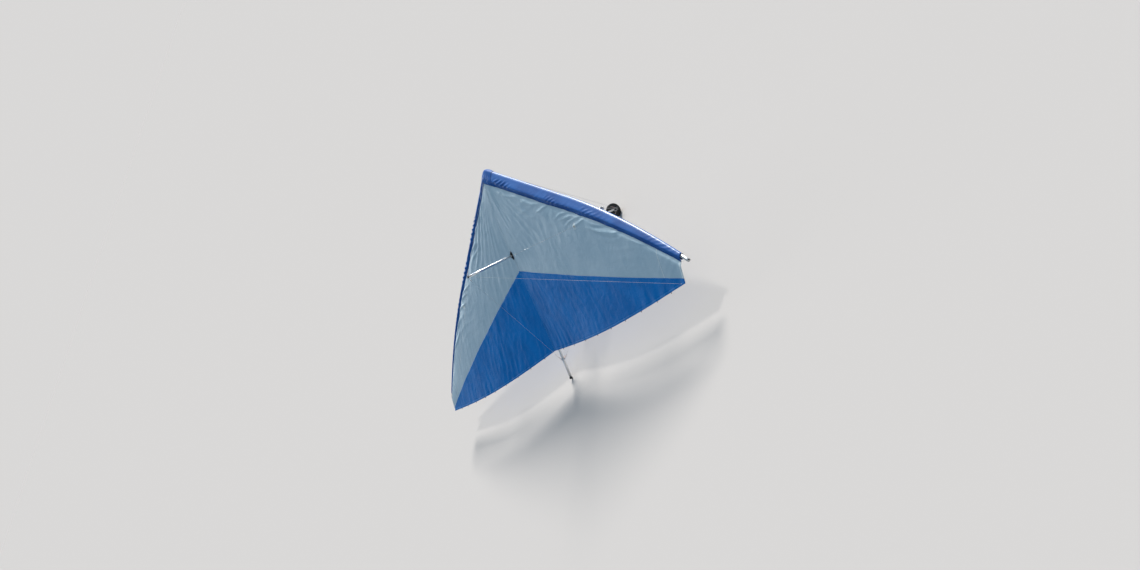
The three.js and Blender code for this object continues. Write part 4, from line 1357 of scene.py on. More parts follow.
# %% [markdown]
# ## Stays
#
# A wire goes round a thimble at each end, comes back along itself and is held by two crimped copper sleeves.
# The same skin function that made the tubes draws the wire, its loops and its cut tails.

# %% Stay pieces
STAY_RADIUS, THIMBLE_RADIUS = 0.0016, 0.0011
LOOP_RADIUS, LOOP_NECK, SLEEVE_START, SLEEVE_LENGTH = 0.0055, 0.020, 0.021, 0.016
SLEEVE_GAP, SLEEVE_WAIST, SLEEVE_SWELL = 0.012, 0.0027, 0.0033
CRIMP_MARKS = (0, 0.08, 0.22, 0.3, 0.46, 0.54, 0.7, 0.78, 0.92, 1)
FLATTENED = Matrix.Diagonal((1.5, 1, 1, 1))


def teardrop(centre, way, across, radius, neck, steps=14):
    """A wire's loop round an eye, which closes towards the wire."""
    side = across.cross(way).normalized()
    points = [centre + way * neck + side * 0.0014]
    for k in range(steps + 1):
        angle = lerp(-0.62, 0.62, k / steps) * math.pi
        points.append(centre - way * radius * math.cos(angle) - side * radius * math.sin(angle))
    points.append(centre + way * neck - side * 0.0014)
    return points


def wire_end(target, at, way, across):
    loop = teardrop(at, way, across, LOOP_RADIUS, LOOP_NECK)
    put(target, sweep(loop, STAY_RADIUS, 10, True), material=WIRE)
    thimble = teardrop(at, way, across, LOOP_RADIUS - 0.0021, LOOP_NECK * 0.7)
    put(target, sweep(thimble, THIMBLE_RADIUS, 8, True), material=STEEL)
    profile = [(0, 0)]
    for k, mark in enumerate(CRIMP_MARKS):
        profile.append((SLEEVE_SWELL if k % 4 in (0, 1) else SLEEVE_WAIST, mark * SLEEVE_LENGTH))
    profile.append((0, SLEEVE_LENGTH))
    for start in (SLEEVE_START, SLEEVE_START + SLEEVE_LENGTH + SLEEVE_GAP):
        put(target, lathe(profile, 16), upright_on(at + way * start, way) @ FLATTENED, COPPER)
    side = across.cross(way).normalized() * 0.003
    tail = [at + way * (LOOP_NECK + 0.002) + side, at + way * 0.072 + side]
    put(target, sweep(tail, STAY_RADIUS, 8, True), material=WIRE)


def stay(label, start, end, across_start, across_end, ending=""):
    """A wire from eye to eye. across is the direction of the pin at each end."""
    made = blank()
    way = (end - start).normalized()
    run = straight(start + way * LOOP_NECK, end - way * LOOP_NECK, 8)
    put(made, sweep(run, STAY_RADIUS, 10), material=WIRE)
    for at, onward, across in ((start, way, across_start), (end, -way, across_end)):
        wire_end(made, at, onward, (across - onward * across.dot(onward)).normalized())
    finish_piece(f"{label}_wire{ending}", made, FITTING, f"stay_{label}{ending}")


for name, side in SIDES.items():
    for label, target, across in LOWER_EYES:
        lug = mirrored(lug_toward(target), side)
        stay(label, lug, mirrored(target, side), across, across, f"_{name}")
    stay("upper_side", mirrored(head_side, side), mirrored(junction, side), Y, Z, f"_{name}")
stay("upper_front", head_front, nose_top, X, X)
stay("upper_rear", head_rear, tail_top, X, X)
print("ten stays")

# %% [markdown]
# ## Nose plates
#
# Two stainless plates clamp the keel and both leading edges. Three bolts go through. The front wires' tangs
# are bolted on, one on top and two underneath.

# %% Nose bracket
NOSE_PLATE = (
    (-0.034, 0.002), (0.034, 0.002), (0.215, 0.086), (0.195, 0.122),
    (0, 0.092), (-0.195, 0.122), (-0.215, 0.086),
)
KEEL_BOLT_Y, SLIP = 0.040, 0.0003
plate_top = spar_point(SPAR_BOLT + 0.065).z + SPAR_RADIUS + SLIP
plate_bottom = -SPAR_RADIUS - SLIP


def build_nose(made):
    for height in (plate_top, plate_bottom - PLATE):
        put(made, slab(NOSE_PLATE, PLATE, 0.0009), Matrix.Translation((0, 0, height)), STEEL)
    spar_bolt = spar_point(SPAR_BOLT)
    for x, y in ((0, KEEL_BOLT_Y), (spar_bolt.x, spar_bolt.y), (-spar_bolt.x, spar_bolt.y)):
        bolted(made, Vector((x, y, plate_top + PLATE)), Vector((x, y, plate_bottom - PLATE)), 0.004)
        spacer = lathe([(0.009, plate_bottom), (0.009, plate_top)], 20)
        put(made, spacer, Matrix.Translation((x, y, 0)), STEEL)
    tang(made, Vector((0, nose_top.y + 0.006, plate_top + PLATE)), nose_top, X)
    for side in (-1, 1):
        at = mirrored(nose_bottom, side)
        tang(made, at + Vector((0, 0, 0.012)), at, X)


fitting("nose_plates", build_nose, "nose_bracket")

# %% [markdown]
# ## Keel fittings
#
# A plastic cap takes the knocks at the tail. In front of it a clamped collar holds the three rear wires.
# A plug closes each leading edge at its tip.

# %% Tail cap, rear collar and tip plugs
TAIL_CAP_RADIUS, TAIL_CAP_RIM = 0.027, 0.014


def build_tail_cap(made):
    outer, rim = TAIL_CAP_RADIUS, TAIL_CAP_RIM
    profile = [(0, -0.03), (0.0181, -0.03), (0.0181, 0.0003), (outer - 0.002, 0.0003), (outer, 0.0023)]
    for ring in (0.005, 0.009):
        profile += [(outer, ring - 0.001), (outer - 0.0012, ring), (outer, ring + 0.001)]
    profile += [(outer, rim), (outer - 0.0012, rim + 0.004), (0.0225, rim + 0.011)]
    profile += [(0.017, rim + 0.0165), (0.010, rim + 0.0195), (0, rim + 0.020)]
    turned(made, profile, Vector((0, KEEL_LENGTH, 0)), Y, BLACK, 48)


def clamp_ring(inner, outer, half, bevel=0.001):
    return [
        (inner, -half), (outer - bevel, -half), (outer, bevel - half), (outer, half - bevel),
        (outer - bevel, half), (inner, half), (inner, -half),
    ]


def build_collar(made):
    centre = Vector((0, REAR_TANG_Y, 0))
    turned(made, clamp_ring(KEEL_RADIUS + SLIP, KEEL_RADIUS + 0.005, 0.018), centre, Y, STEEL)
    tang(made, centre + Z * (KEEL_RADIUS + 0.003), tail_top, X)
    for side in (-1, 1):
        at = mirrored(tail_bottom, side)
        tang(made, at + (centre - at).normalized() * 0.012, at, Y)
    for y in (-0.012, 0.012):
        start = Vector((KEEL_RADIUS + 0.005, REAR_TANG_Y + y, 0.002))
        bolted(made, start, start + X * 0.001, 0.0022)


fitting("tail_cap", build_tail_cap, "keel_tail_cap")
fitting("rear_collar", build_collar, "rear_wire_collar")

tip = spar_point(SPAR_LENGTH)
tip_way = (tip - spar_point(SPAR_LENGTH - 0.06)).normalized()
edge = OUTBOARD_RADIUS
plug = [(0, -0.04), (0.0195, -0.04), (0.0195, 0.0012), (edge, 0.0012), (edge, 0.0055)]
plug += [(edge - 0.0012, 0.0078), (edge - 0.004, 0.009), (0.006, 0.009), (0.005, 0.0075), (0, 0.0075)]
for name, side in SIDES.items():
    mesh = blank()
    turned(mesh, plug, mirrored(tip, side), mirrored(tip_way, side), BLACK)
    finish_piece(f"tip_cap_{name}", mesh, FITTING, f"tip_plug_{name}")
print("keel fittings and tip plugs")

# %% [markdown]
# ## Crossbar fittings
#
# In the middle a plastic block joins the two crossbar tubes. At each outer end a steel saddle is wrapped
# round the leading edge, and a bolt through two plates holds the crossbar under it. The saddle is about a
# third of a ring, which is a closed profile spun by less than a full turn.

# %% Crossbar hinge and brackets
SADDLE_HALF_LENGTH, SADDLE_WALL, SADDLE_ARC = 0.060, 0.005, 124
SHANK_RADIUS, HINGE_HALF_DEPTH = 0.005, 0.032


def build_hinge(made):
    low = (-HINGE_HALF_WIDTH, HINGE_Y - HINGE_HALF_DEPTH, KEEL_RADIUS + SLIP)
    high = (HINGE_HALF_WIDTH, HINGE_Y + HINGE_HALF_DEPTH, HINGE_Z + HINGE_HALF_DEPTH)
    put(made, block(low, high, 0.005, 4), material=BLACK)
    for x in (-0.030, 0.030):
        top = Vector((x, HINGE_Y, HINGE_Z + HINGE_HALF_DEPTH))
        bolted(made, top, top - Z * 0.070, 0.004)
    profile = [(0, 0), (0.0295, 0), (0.0295, 0.0075), (0.0246, 0.0078), (0.0246, 0.06), (0, 0.06)]
    for side in (-1, 1):
        start = Vector((side * (HINGE_HALF_WIDTH - 0.004), HINGE_Y, HINGE_Z))
        turned(made, profile, start, mirrored(crossbar_end - crossbar_start, side), BLACK)


def build_bracket(made):
    along = (spar_point(CROSSBAR_STATION + 0.05) - spar_point(CROSSBAR_STATION - 0.05)).normalized()
    wall = (SPAR_RADIUS + SLIP, SPAR_RADIUS + SADDLE_WALL)
    saddle = lathe(tube_profile(*wall, -SADDLE_HALF_LENGTH, SADDLE_HALF_LENGTH), 24, math.radians(SADDLE_ARC))
    opening = standing(clamp_centre, Vector((along.y, -along.x, 0)), along)
    put(made, saddle, opening @ Matrix.Rotation(math.radians(90 - SADDLE_ARC / 2), 4, "Z"), STEEL)
    x, y, post_top = cross.x, cross.y, clamp_centre.z - SPAR_RADIUS - 0.001
    for low, high, bevel in (
        ((x - 0.034, y - 0.026, top_of_bar), (x + 0.052, y + 0.026, top_of_bar + PLATE), 0.0012),
        ((x - 0.006, y - 0.022, top_of_bar), (x + 0.050, y + 0.022, post_top), 0.004),
        ((x - 0.030, y - 0.022, under_bar - PLATE), (x + 0.040, y + 0.022, under_bar), 0.0012),
        ((x - 0.026, y + 0.020, top_of_bar), (x - 0.014, junction.y - 0.004, top_of_bar + PLATE), 0.001),
    ):
        put(made, block(low, high, bevel), material=STEEL)
    bolted(made, Vector((x, y, top_of_bar + PLATE)), Vector((x, y, under_bar - PLATE)), SHANK_RADIUS)
    tang(made, junction - Y * 0.016, junction, Z)
    tang(made, junction_low + Z * (EYE_REACH + 0.001), junction_low, Y)


fitting("crossbar_joint", build_hinge, "crossbar_hinge")
fitting_pair("crossbar_saddle", build_bracket, "crossbar_bracket")
print("crossbar fittings")

# %% [markdown]
# ## Kingpost fittings
#
# The post stands between two ears on the keel. Its plastic head carries a steel ring with four tangs,
# and a wire ends in each.

# %% Kingpost base and head
KINGPOST_PIN = 0.034


def build_post_base(made):
    inside, foot = KINGPOST_RADIUS + 2 * SLIP, KEEL_RADIUS + SLIP
    outside = inside + PLATE
    base = block((-outside, APEX_Y - 0.034, foot), (outside, APEX_Y + 0.038, foot + PLATE), 0.0012)
    put(made, base, material=STEEL)
    pin = kingpost_foot + post_way * KINGPOST_PIN
    for start in (inside, -outside):
        ear = slab(rounded_end(pin.z - foot, 0.020, 16), PLATE, 0.0008)
        put(made, ear, standing(Vector((start, APEX_Y + 0.002, foot)), Z, X), STEEL)
    bolted(made, pin + X * outside, pin - X * outside, 0.004)
    for y in (-0.026, 0.031):
        top = Vector((0, APEX_Y + y, foot + PLATE))
        bolted(made, top, top - Z * 0.002, 0.003)


def build_post_head(made):
    profile = [
        (0, -0.03), (0.0158, -0.03), (0.0158, 0.0003), (0.0195, 0.0003), (0.021, 0.0018), (0.021, 0.006),
        (0.0195, 0.007), (0.0195, 0.0125), (0.021, 0.0135), (0.021, 0.0165), (0.018, 0.0195), (0, 0.020),
    ]
    turned(made, profile, kingpost_head, post_way, BLACK)
    turned(made, tube_profile(0.0196, 0.0215, -0.0015, 0.0015), head, Z, STEEL)
    for at, across in ((head_front, X), (head_rear, X), (head_side, Y), (mirrored(head_side), Y)):
        tang(made, at + (head - at).normalized() * 0.008, at, across)
    top = kingpost_head + post_way * 0.0195
    bolted(made, top, top - post_way * 0.002, 0.003)


fitting("kingpost_foot", build_post_base, "kingpost_base")
fitting("kingpost_cap", build_post_head, "kingpost_head")
print("kingpost fittings")

# %% [markdown]
# ## Control frame fittings
#
# The apex block hangs under the keel and takes the uprights in two sockets. Each lower corner is a moulded
# knuckle with a socket for the upright, one for the base bar, and three tangs for the wires.

# %% Apex block and corners


def socket(length, inner, outer):
    lip = outer + 0.0014
    return [
        (inner, 0), (inner, length), (lip, length), (lip, length - 0.004), (outer, length - 0.006),
        (outer, 0), (inner, 0),
    ]


def build_apex(made):
    low = (-0.066, APEX_Y - 0.026, -APEX_DEPTH)
    put(made, block(low, (0.066, APEX_Y + 0.026, -KEEL_RADIUS - SLIP), 0.004, 4), material=BLACK)
    sleeve = socket(0.040, UPRIGHT_RADIUS + SLIP, UPRIGHT_RADIUS + 0.004)
    for side in (-1, 1):
        way, start = mirrored(frame_down, side), mirrored(apex_top, side)
        turned(made, sleeve, start - way * 0.004, way, BLACK, 32)
        pin, reach = start + way * 0.026, Y * (UPRIGHT_RADIUS + 0.0045)
        bolted(made, pin - reach, pin + reach, 0.003)
        top = Vector((side * 0.052, APEX_Y, -KEEL_RADIUS - 0.003))
        bolted(made, top, top - Z * 0.004, 0.003)
    for y in (-0.055, 0.060):
        strap = tube_profile(0.0214, 0.0234, -0.016, 0.016)
        turned(made, strap, Vector((0, APEX_Y + y, 0)), Y, STEEL)


def build_corner(made):
    sleeve = socket(0.044, UPRIGHT_RADIUS + SLIP, UPRIGHT_RADIUS + 0.003)
    turned(made, sleeve, corner, -frame_down, BLACK, 32)
    sleeve = socket(BAR_BOSS + 0.006, BASE_BAR_RADIUS + SLIP, BASE_BAR_RADIUS + 0.003)
    turned(made, sleeve, corner, -X, BLACK, 32)
    half = [(0.0195, 0.010), (0.0175, 0.0145), (0.013, 0.017), (0, 0.017)]
    knuckle = [(radius, -height) for radius, height in reversed(half)] + half
    turned(made, knuckle, corner, Y, BLACK)
    bolted(made, corner - Y * 0.017, corner + Y * 0.017, 0.004)
    for _, target, across in LOWER_EYES:
        at = lug_toward(target)
        way = (at - corner).normalized()
        tang(made, corner.lerp(at, 0.45), at, (across - way * across.dot(way)).normalized())
    for pin, reach in ((corner - frame_down * 0.034, 0.0195), (corner - X * 0.028, 0.0175)):
        bolted(made, pin - Y * reach, pin + Y * reach, 0.0025)


fitting("apex_block", build_apex, "apex_bracket")
fitting_pair("frame_corner", build_corner, "corner_bracket")
print("control frame fittings")

# %% [markdown]
# ## Base bar
#
# The bar carries two collars beside each wheel. Between the wheels it has two soft grips for the hands.

# %% Base bar
WHEEL_RADIUS, WHEEL_X, HUB_HALF_WIDTH = 0.125, 0.590, 0.040
COLLAR_WIDTH, COLLAR_RADIUS = 0.014, 0.021
GRIP_X, GRIP_HALF, GRIP_RADIUS, GRIP_HOLLOW, GRIP_RINGS = 0.30, 0.09, 0.0185, 0.0175, 17


def on_bar(x):
    return Vector((x, corner.y, corner.z))


def build_bar(made):
    end = FRAME_HALF_WIDTH - BAR_BOSS
    put(made, sweep(straight(on_bar(-end), on_bar(end)), BASE_BAR_RADIUS, 36, True))
    ring = clamp_ring(BASE_BAR_RADIUS, COLLAR_RADIUS, COLLAR_WIDTH / 2, 0.0012)
    for side in (-1, 1):
        for away in (-1, 1):
            x = side * WHEEL_X + away * (HUB_HALF_WIDTH + 0.001 + COLLAR_WIDTH / 2)
            turned(made, ring, on_bar(x), X, 1)
            screw = Vector((x, corner.y, corner.z + COLLAR_RADIUS))
            put(made, hexagon(0.0028, 0.0014), upright_on(screw, Z), 2)


fitting("base_bar_tube", build_bar, "base_bar", [tube_metal, plate_metal, bolt_metal])

grip = [(BASE_BAR_RADIUS, -GRIP_HALF), (GRIP_HOLLOW, -GRIP_HALF), (GRIP_RADIUS, -0.086)]
for ring in range(GRIP_RINGS):
    centre = lerp(-0.08, 0.08, ring / (GRIP_RINGS - 1))
    grip += [(GRIP_RADIUS, centre - 0.003), (GRIP_HOLLOW, centre), (GRIP_RADIUS, centre + 0.003)]
grip += [(GRIP_RADIUS, 0.086), (GRIP_HOLLOW, GRIP_HALF), (BASE_BAR_RADIUS, GRIP_HALF)]
for name, side in SIDES.items():
    mesh = blank()
    turned(mesh, grip, on_bar(side * GRIP_X), X, sides=32)
    finish_piece(f"hand_grip_{name}", mesh, [black_plastic])
print("base bar and grips")

# %% [markdown]
# ## Wheels
#
# A training wheel has a hub and a rim that ten ribs on each side and a thin web join. The tyre is solid
# rubber with a groove in the middle and blocks across its tread, left where every third step is sunk.

# %% Wheels and tyres
RIM_RADIUS = WHEEL_RADIUS - 0.034
HUB_BORE = BASE_BAR_RADIUS + 0.0005
RIBS, HUB_SCREWS, TREAD_STEPS, TREAD_DEPTH = 10, 5, 96, 0.003


def wheel_mesh():
    made, half, inner = blank(), HUB_HALF_WIDTH, RIM_RADIUS - 0.012
    hub = [
        (HUB_BORE, -half), (0.026, -half), (0.028, 0.002 - half), (0.029, -0.020), (0.032, -0.016),
        (0.032, 0.016), (0.029, 0.020), (0.028, half - 0.002), (0.026, half), (HUB_BORE, half),
        (HUB_BORE, -half),
    ]
    rim = [
        (inner, -0.012), (RIM_RADIUS - 0.007, -0.024), (RIM_RADIUS - 0.0055, -0.026), (RIM_RADIUS, -0.026),
        (RIM_RADIUS, 0.026), (RIM_RADIUS - 0.0055, 0.026), (RIM_RADIUS - 0.007, 0.024), (inner, 0.012),
        (inner, -0.012),
    ]
    web = tube_profile(0.031, RIM_RADIUS - 0.008, -0.003, 0.003)
    for profile, sides in ((hub, 48), (web, 48), (rim, 72)):
        put(made, lathe(profile, sides))
    for k in range(RIBS):
        turn = Matrix.Rotation(math.tau * k / RIBS, 4, "Z")
        for low, high in ((0.003, 0.0135), (-0.0135, -0.003)):
            put(made, block((0.0305, -0.003, low), (inner + 0.001, 0.003, high), 0.0014, 2), turn)
    for k in range(HUB_SCREWS):
        angle = math.tau * (k + 0.5) / HUB_SCREWS
        spot = Vector((0.021 * math.cos(angle), 0.021 * math.sin(angle), half))
        put(made, lathe([(0.0025, 0), (0.002, 0.0008), (0, 0.0008)], 12), Matrix.Translation(spot))
    return made


def tyre_mesh():
    upper = [
        (RIM_RADIUS + SLIP, 0.024), (0.098, 0.0285), (0.105, 0.0306), (0.112, 0.0296), (0.118, 0.0268),
        (0.1220, 0.022), (0.1236, 0.016), (0.1240, 0.0125), (0.1215, 0.0115), (0.1215, 0.0095),
        (0.1240, 0.0085),
    ]
    lower = [(radius, -height) for radius, height in reversed(upper)]
    made = lathe([*upper, *lower, upper[0]], TREAD_STEPS)
    notched = []
    for face in made.faces:
        spot = face.calc_center_median()
        step = int((math.atan2(spot.y, spot.x) / math.tau + 1) * TREAD_STEPS) % 3
        if step == 0 and math.hypot(spot.x, spot.y) > 0.119 and abs(spot.z) > 0.012:
            notched.append(face)
    for face in bmesh.ops.extrude_discrete_faces(made, faces=notched)["faces"]:
        for vert in face.verts:
            reach = math.hypot(vert.co.x, vert.co.y)
            vert.co.x *= (reach - TREAD_DEPTH) / reach
            vert.co.y *= (reach - TREAD_DEPTH) / reach
    bmesh.ops.recalc_face_normals(made, faces=made.faces)
    return made


for name, side in SIDES.items():
    for piece, mesh, slot, material, node in (
        ("wheel_rim", wheel_mesh(), "wheel_plastic", wheel_plastic, "wheel"),
        ("wheel_tyre", tyre_mesh(), "tyre_rubber", rubber, "tyre"),
    ):
        mesh.transform(upright_on(on_bar(side * WHEEL_X), X * side))
        finish_piece(f"{piece}_{name}", mesh, [material], f"{node}_{name}", f"{name}_wheel", 32)
print("two wheels")

# %% [markdown]
# ## Hang strap
#
# A loop of webbing goes over the keel, and the harness hangs from it. The path goes round once, an edge as
# wide as the webbing is swept along it, and the ends meet. The two halves are sewn together under the keel.

# %% Hang strap
STRAP_AFT, STRAP_WIDTH, STRAP_THICKNESS, STRAP_DROP = 0.100, 0.040, 0.0035, 0.330
STRAP_EDGES = 6


def strap_path():
    over = KEEL_RADIUS + SLIP + STRAP_THICKNESS / 2
    under = 0.0055 + STRAP_THICKNESS / 2
    fold = under + STRAP_THICKNESS / 2 - STRAP_DROP
    points = []
    for k in range(17):
        angle = math.pi * k / 16
        points.append(Vector((over * math.cos(angle), 0, over * math.sin(angle))))
    for share in (k / 16 for k in range(1, 16)):
        x = lerp(-over, -under, ease(0, 0.9, share)) - 0.001 * math.sin(9 * share)
        points.append(Vector((x, 0, lerp(0, fold, share))))
    for k in range(13):
        angle = math.pi * (1 + k / 12)
        points.append(Vector((under * math.cos(angle), 0, fold + under * math.sin(angle))))
    for share in (k / 16 for k in range(1, 16)):
        x = lerp(under, over, ease(0.1, 1, share)) + 0.0008 * math.sin(7 * share)
        points.append(Vector((x, 0, lerp(fold, 0, share))))
    return [*points, points[0]]


def strap_mesh(start_y, width, path):
    """A closed band along the path, with its cloth map in metres."""
    made = blank()
    made.verts.ensure_lookup_table()
    ends = [path[0] + Y * (start_y + width * k / STRAP_EDGES) for k in range(STRAP_EDGES + 1)]
    first = [made.verts.new(end) for end in ends]
    edges = [made.edges.new(pair) for pair in zip(first, first[1:])]
    lengths = {vert: 0.0 for vert in first}
    passed = 0.0
    for before, after in zip(path, path[1:]):
        passed += (after - before).length
        verts, edges = grow(made, edges)
        bmesh.ops.translate(made, vec=after - before, verts=verts)
        lengths.update((vert, passed) for vert in verts)
    made.verts.index_update()
    along = {vert.index: length for vert, length in lengths.items()}
    across = {vert.index: vert.co.y - start_y for vert in lengths}
    map_corners(made, "cloth", lambda vert: (across[vert.index], along[vert.index]))
    map_corners(
        made, "seam", lambda vert: (min(across[vert.index], width - across[vert.index]), along[vert.index])
    )
    bmesh.ops.remove_doubles(made, verts=made.verts, dist=1e-5)
    bmesh.ops.recalc_face_normals(made, faces=made.faces)
    return made


path = strap_path()
mesh = strap_mesh(APEX_Y + STRAP_AFT, STRAP_WIDTH, path)
strap = finish_piece("harness_strap", mesh, [webbing], "hang_strap", sharp=60)
thicken(strap, STRAP_THICKNESS - 0.0006, 0)
print("strap length", round(sum((b - a).length for a, b in zip(path, path[1:])), 3))

# %% [markdown]
# ## Strips sewn on the sail
#
# Batten pockets, hems, the tape over the centre seam and round patches are all strips of cloth that follow
# the sail. Each is a narrow grid along a line: u goes along, v across. They are joined into one piece for
# each panel and colour, and each strip gets its own wall. The batten pockets are sewn on underneath, where
# they bulge round the battens, and the hems and tapes lie a little above the sail.

# %% Sewn strips
STRIP_LIFT, BULGE_WIDTH = 0.0030, 0.008
BATTEN_POCKET, BATTEN_BULGE, UNDERNEATH = 0.018, -0.0085, -0.0020
HEM, TIP_HEM, PANEL_SEAM_X, PANEL_SEAM = 0.016, 0.040, 4.530, 0.012


def strip_place(line, half_width, side, lift=STRIP_LIFT, bulge=0.0):
    """line(u) gives a place (x, y) in the plan and the direction across the strip there."""

    def place(u, v):
        (x, y), (across_x, across_y) = line(u)
        off = lerp(-half_width, half_width, v)
        rise = bulge * math.exp(-((off / BULGE_WIDTH) ** 2))
        point = sail_point(abs(x + across_x * off), y + across_y * off, side, lift + rise)
        return point, (off, y), (min(half_width - abs(off), half_width), x + y)

    return place


def strip_piece(name, material, strips):
    """strips are (grid steps along, grid steps across, place function)."""
    whole = blank()
    for label in ("cloth", "seam"):
        whole.loops.layers.uv.new(label)
    for along, across, place in strips:
        part = cloth_mesh(along, across, place, False)
        part.normal_update()
        if sum((face.normal * face.calc_area() for face in part.faces), Vector()).z < 0:
            bmesh.ops.reverse_faces(part, faces=part.faces)
        put(whole, part)
    return thicken(finish_piece(name, whole, [material]), SAILCLOTH)


def batten_strip(steps, x, start, end, side, lift):
    def line(u):
        return (x, lerp(start, end, u)), (1, 0)

    return steps, 8, strip_place(line, BATTEN_POCKET, side, lift, BATTEN_BULGE)


def across_place(side, start_x, end_x, lift):
    """A strip along the chord, from the pocket's edge back to the azure cloth."""

    def place(u, v):
        x = lerp(start_x, end_x, v)
        y = lerp(pocket_seam_y(x) + LAP + 0.002, chevron_y(x) - LAP, u)
        return sail_point(x, y, side, lift), (x, y), (min(x - start_x, end_x - x), y)

    return place


def trailing_line(u):
    x = lerp(0.012, SAIL_TIP_X - 0.002, u)
    slope = (trailing_y(x + 0.01) - trailing_y(x - 0.01)) / 0.02
    size = math.hypot(1, slope)
    return (x, trailing_y(x) - HEM), (-slope / size, 1 / size)


sewn_on = {}
for name, side in SIDES.items():
    white, azure = [], []
    for x in BATTEN_X:
        front, seam = pocket_seam_y(x) + LAP + 0.004, chevron_y(x) - LAP
        white.append(batten_strip(70, x, front, seam, side, UNDERNEATH))
        azure.append(batten_strip(60, x, seam + 0.002, trailing_y(x) - 0.004, side, UNDERNEATH + 0.0012))
    azure.append((300, 4, strip_place(trailing_line, HEM, side, STRIP_LIFT + 0.0030)))
    tip_strip = across_place(side, SAIL_TIP_X - TIP_HEM, SAIL_TIP_X + 0.001, STRIP_LIFT - 0.0006)
    seam_strip = across_place(side, PANEL_SEAM_X, PANEL_SEAM_X + PANEL_SEAM, STRIP_LIFT - 0.0014)
    white_piece = strip_piece(f"batten_pockets_{name}", white_cloth, white)
    azure_piece = strip_piece(f"batten_pockets_rear_{name}", azure_cloth, azure)
    hems = [(36, 8, tip_strip), (60, 3, seam_strip)]
    sewn_on[f"main_{name}"] = [white_piece, strip_piece(f"tip_hem_{name}", hem_cloth, hems)]
    sewn_on[f"rear_{name}"] = [azure_piece]
print(len(BATTEN_X), "batten pockets on each side")

# %% [markdown]
# ## Centre seam and kingpost slot
#
# A tape covers the seam between the two wings. Round the kingpost's slot the cloth's edge is bound with
# webbing, which is a soft round bead along the edge.

# %% Centre tape and slot binding
TAPE_HALF_WIDTH, TAPE_LIFT, REAR_TAPE_LIFT = 0.014, 0.0020, 0.0036
BEAD_RADIUS, BEAD_STEPS = 0.0042, 64


def centre_strip(steps, start, end, lift):
    def place(u, v):
        y = lerp(start, end, u)
        x = lerp(-TAPE_HALF_WIDTH, TAPE_HALF_WIDTH, v)
        return centre_point(x, y, lift), (x, y), (TAPE_HALF_WIDTH - abs(x), y)

    return steps, 4, place


front_part = centre_strip(90, pocket_seam_y(0) + LAP, SLOT_Y - SLOT_HALF_LENGTH + 0.004, TAPE_LIFT)
middle_part = centre_strip(24, SLOT_Y + SLOT_HALF_LENGTH - 0.004, CHEVRON_ROOT_Y - LAP, TAPE_LIFT)
rear_part = centre_strip(100, CHEVRON_ROOT_Y - LAP, trailing_y(0) - 0.003, REAR_TAPE_LIFT)
sewn_on["main_left"].append(
    strip_piece("centre_tape", white_cloth, [front_part, middle_part])
)
sewn_on["rear_left"].append(strip_piece("centre_tape_rear", azure_cloth, [rear_part]))


def slot_edge(turn):
    angle = math.tau * turn
    y = SLOT_Y - SLOT_HALF_LENGTH * math.cos(angle)
    return centre_point((SLOT_HALF_WIDTH + 0.001) * math.sin(angle), y)


mesh = sweep([slot_edge(k / BEAD_STEPS) for k in range(BEAD_STEPS + 1)], BEAD_RADIUS, 12)
grain = mesh.verts.layers.float_vector[GRAIN]
map_corners(mesh, "cloth", lambda vert: (math.atan2(vert[grain].y, vert[grain].x) * 0.004, vert[grain].z))
sewn_on["main_left"].append(finish_piece("slot_binding", mesh, [webbing]))
print("centre seam covered")

# %% [markdown]
# ## Boot round the kingpost
#
# A stretchy boot closes the slot, so rain and wind stay out of the sail. Its near-black colour is painted
# shade of the slot. It is a short cone of cloth from the binding up to the post, a little baggy halfway.

# %% Kingpost boot
BOOT_RISE, BOOT_PUFF = 0.022, 0.006
# near black: painted shade of the slot
slot_shade_cloth = sailcloth(
    "stretch cloth in slot shade", (0.020, 0.022, 0.026), (0.012, 0.013, 0.016), (0.05, 0.05, 0.055), 0.6
)


def boot_place(u, v):
    edge, angle, reach = slot_edge(u), math.tau * u, KINGPOST_RADIUS + 0.002
    post = kingpost_foot + post_way * ((edge.z + BOOT_RISE - kingpost_foot.z) / post_way.z)
    collar = post + Vector((reach * math.sin(angle), -reach * math.cos(angle), 0))
    puff = BOOT_PUFF * math.sin(math.pi * v) * (1 + 0.3 * math.sin(9 * angle))
    return edge.lerp(collar, v) + Z * puff, (angle * 0.03, v * 0.05), (v * 0.05, angle * 0.03)


sewn_on["main_left"].append(strip_piece("kingpost_boot", slot_shade_cloth, [(72, 12, boot_place)]))
print("boot closes the slot")

# %% [markdown]
# ## Where the upper wires pass the sail
#
# The side wires go down through the sail to the crossbar. Each passes a brass ring in a round patch.
# The crossing point is found by halving: the wire is above the sail at one end and below at the other.

# %% Patches and rings
brass = metal("brass ring", (0.72, 0.55, 0.28), (0.40, 0.30, 0.16), 0.3)
PATCH_RADIUS, RING_RADIUS, RING_WIRE, RING_STEPS = 0.055, 0.011, 0.0028, 28


def crossing(start, end, side):
    """The point of the line where it passes the sail."""
    above, under = 0.0, 1.0
    for _ in range(30):
        middle = (above + under) / 2
        spot = start.lerp(end, middle)
        if spot.z > sail_height(abs(spot.x), spot.y) + folds(abs(spot.x), spot.y, side):
            above = middle
        else:
            under = middle
    return start.lerp(end, above)


def patch_place(centre, side):
    def place(u, v):
        reach, angle = lerp(RING_RADIUS, PATCH_RADIUS, v), math.tau * u
        x, y = centre.x + reach * math.cos(angle), centre.y + reach * math.sin(angle)
        return sail_point(x, y, side, STRIP_LIFT), (x, y), (PATCH_RADIUS - reach, angle * reach)

    return place


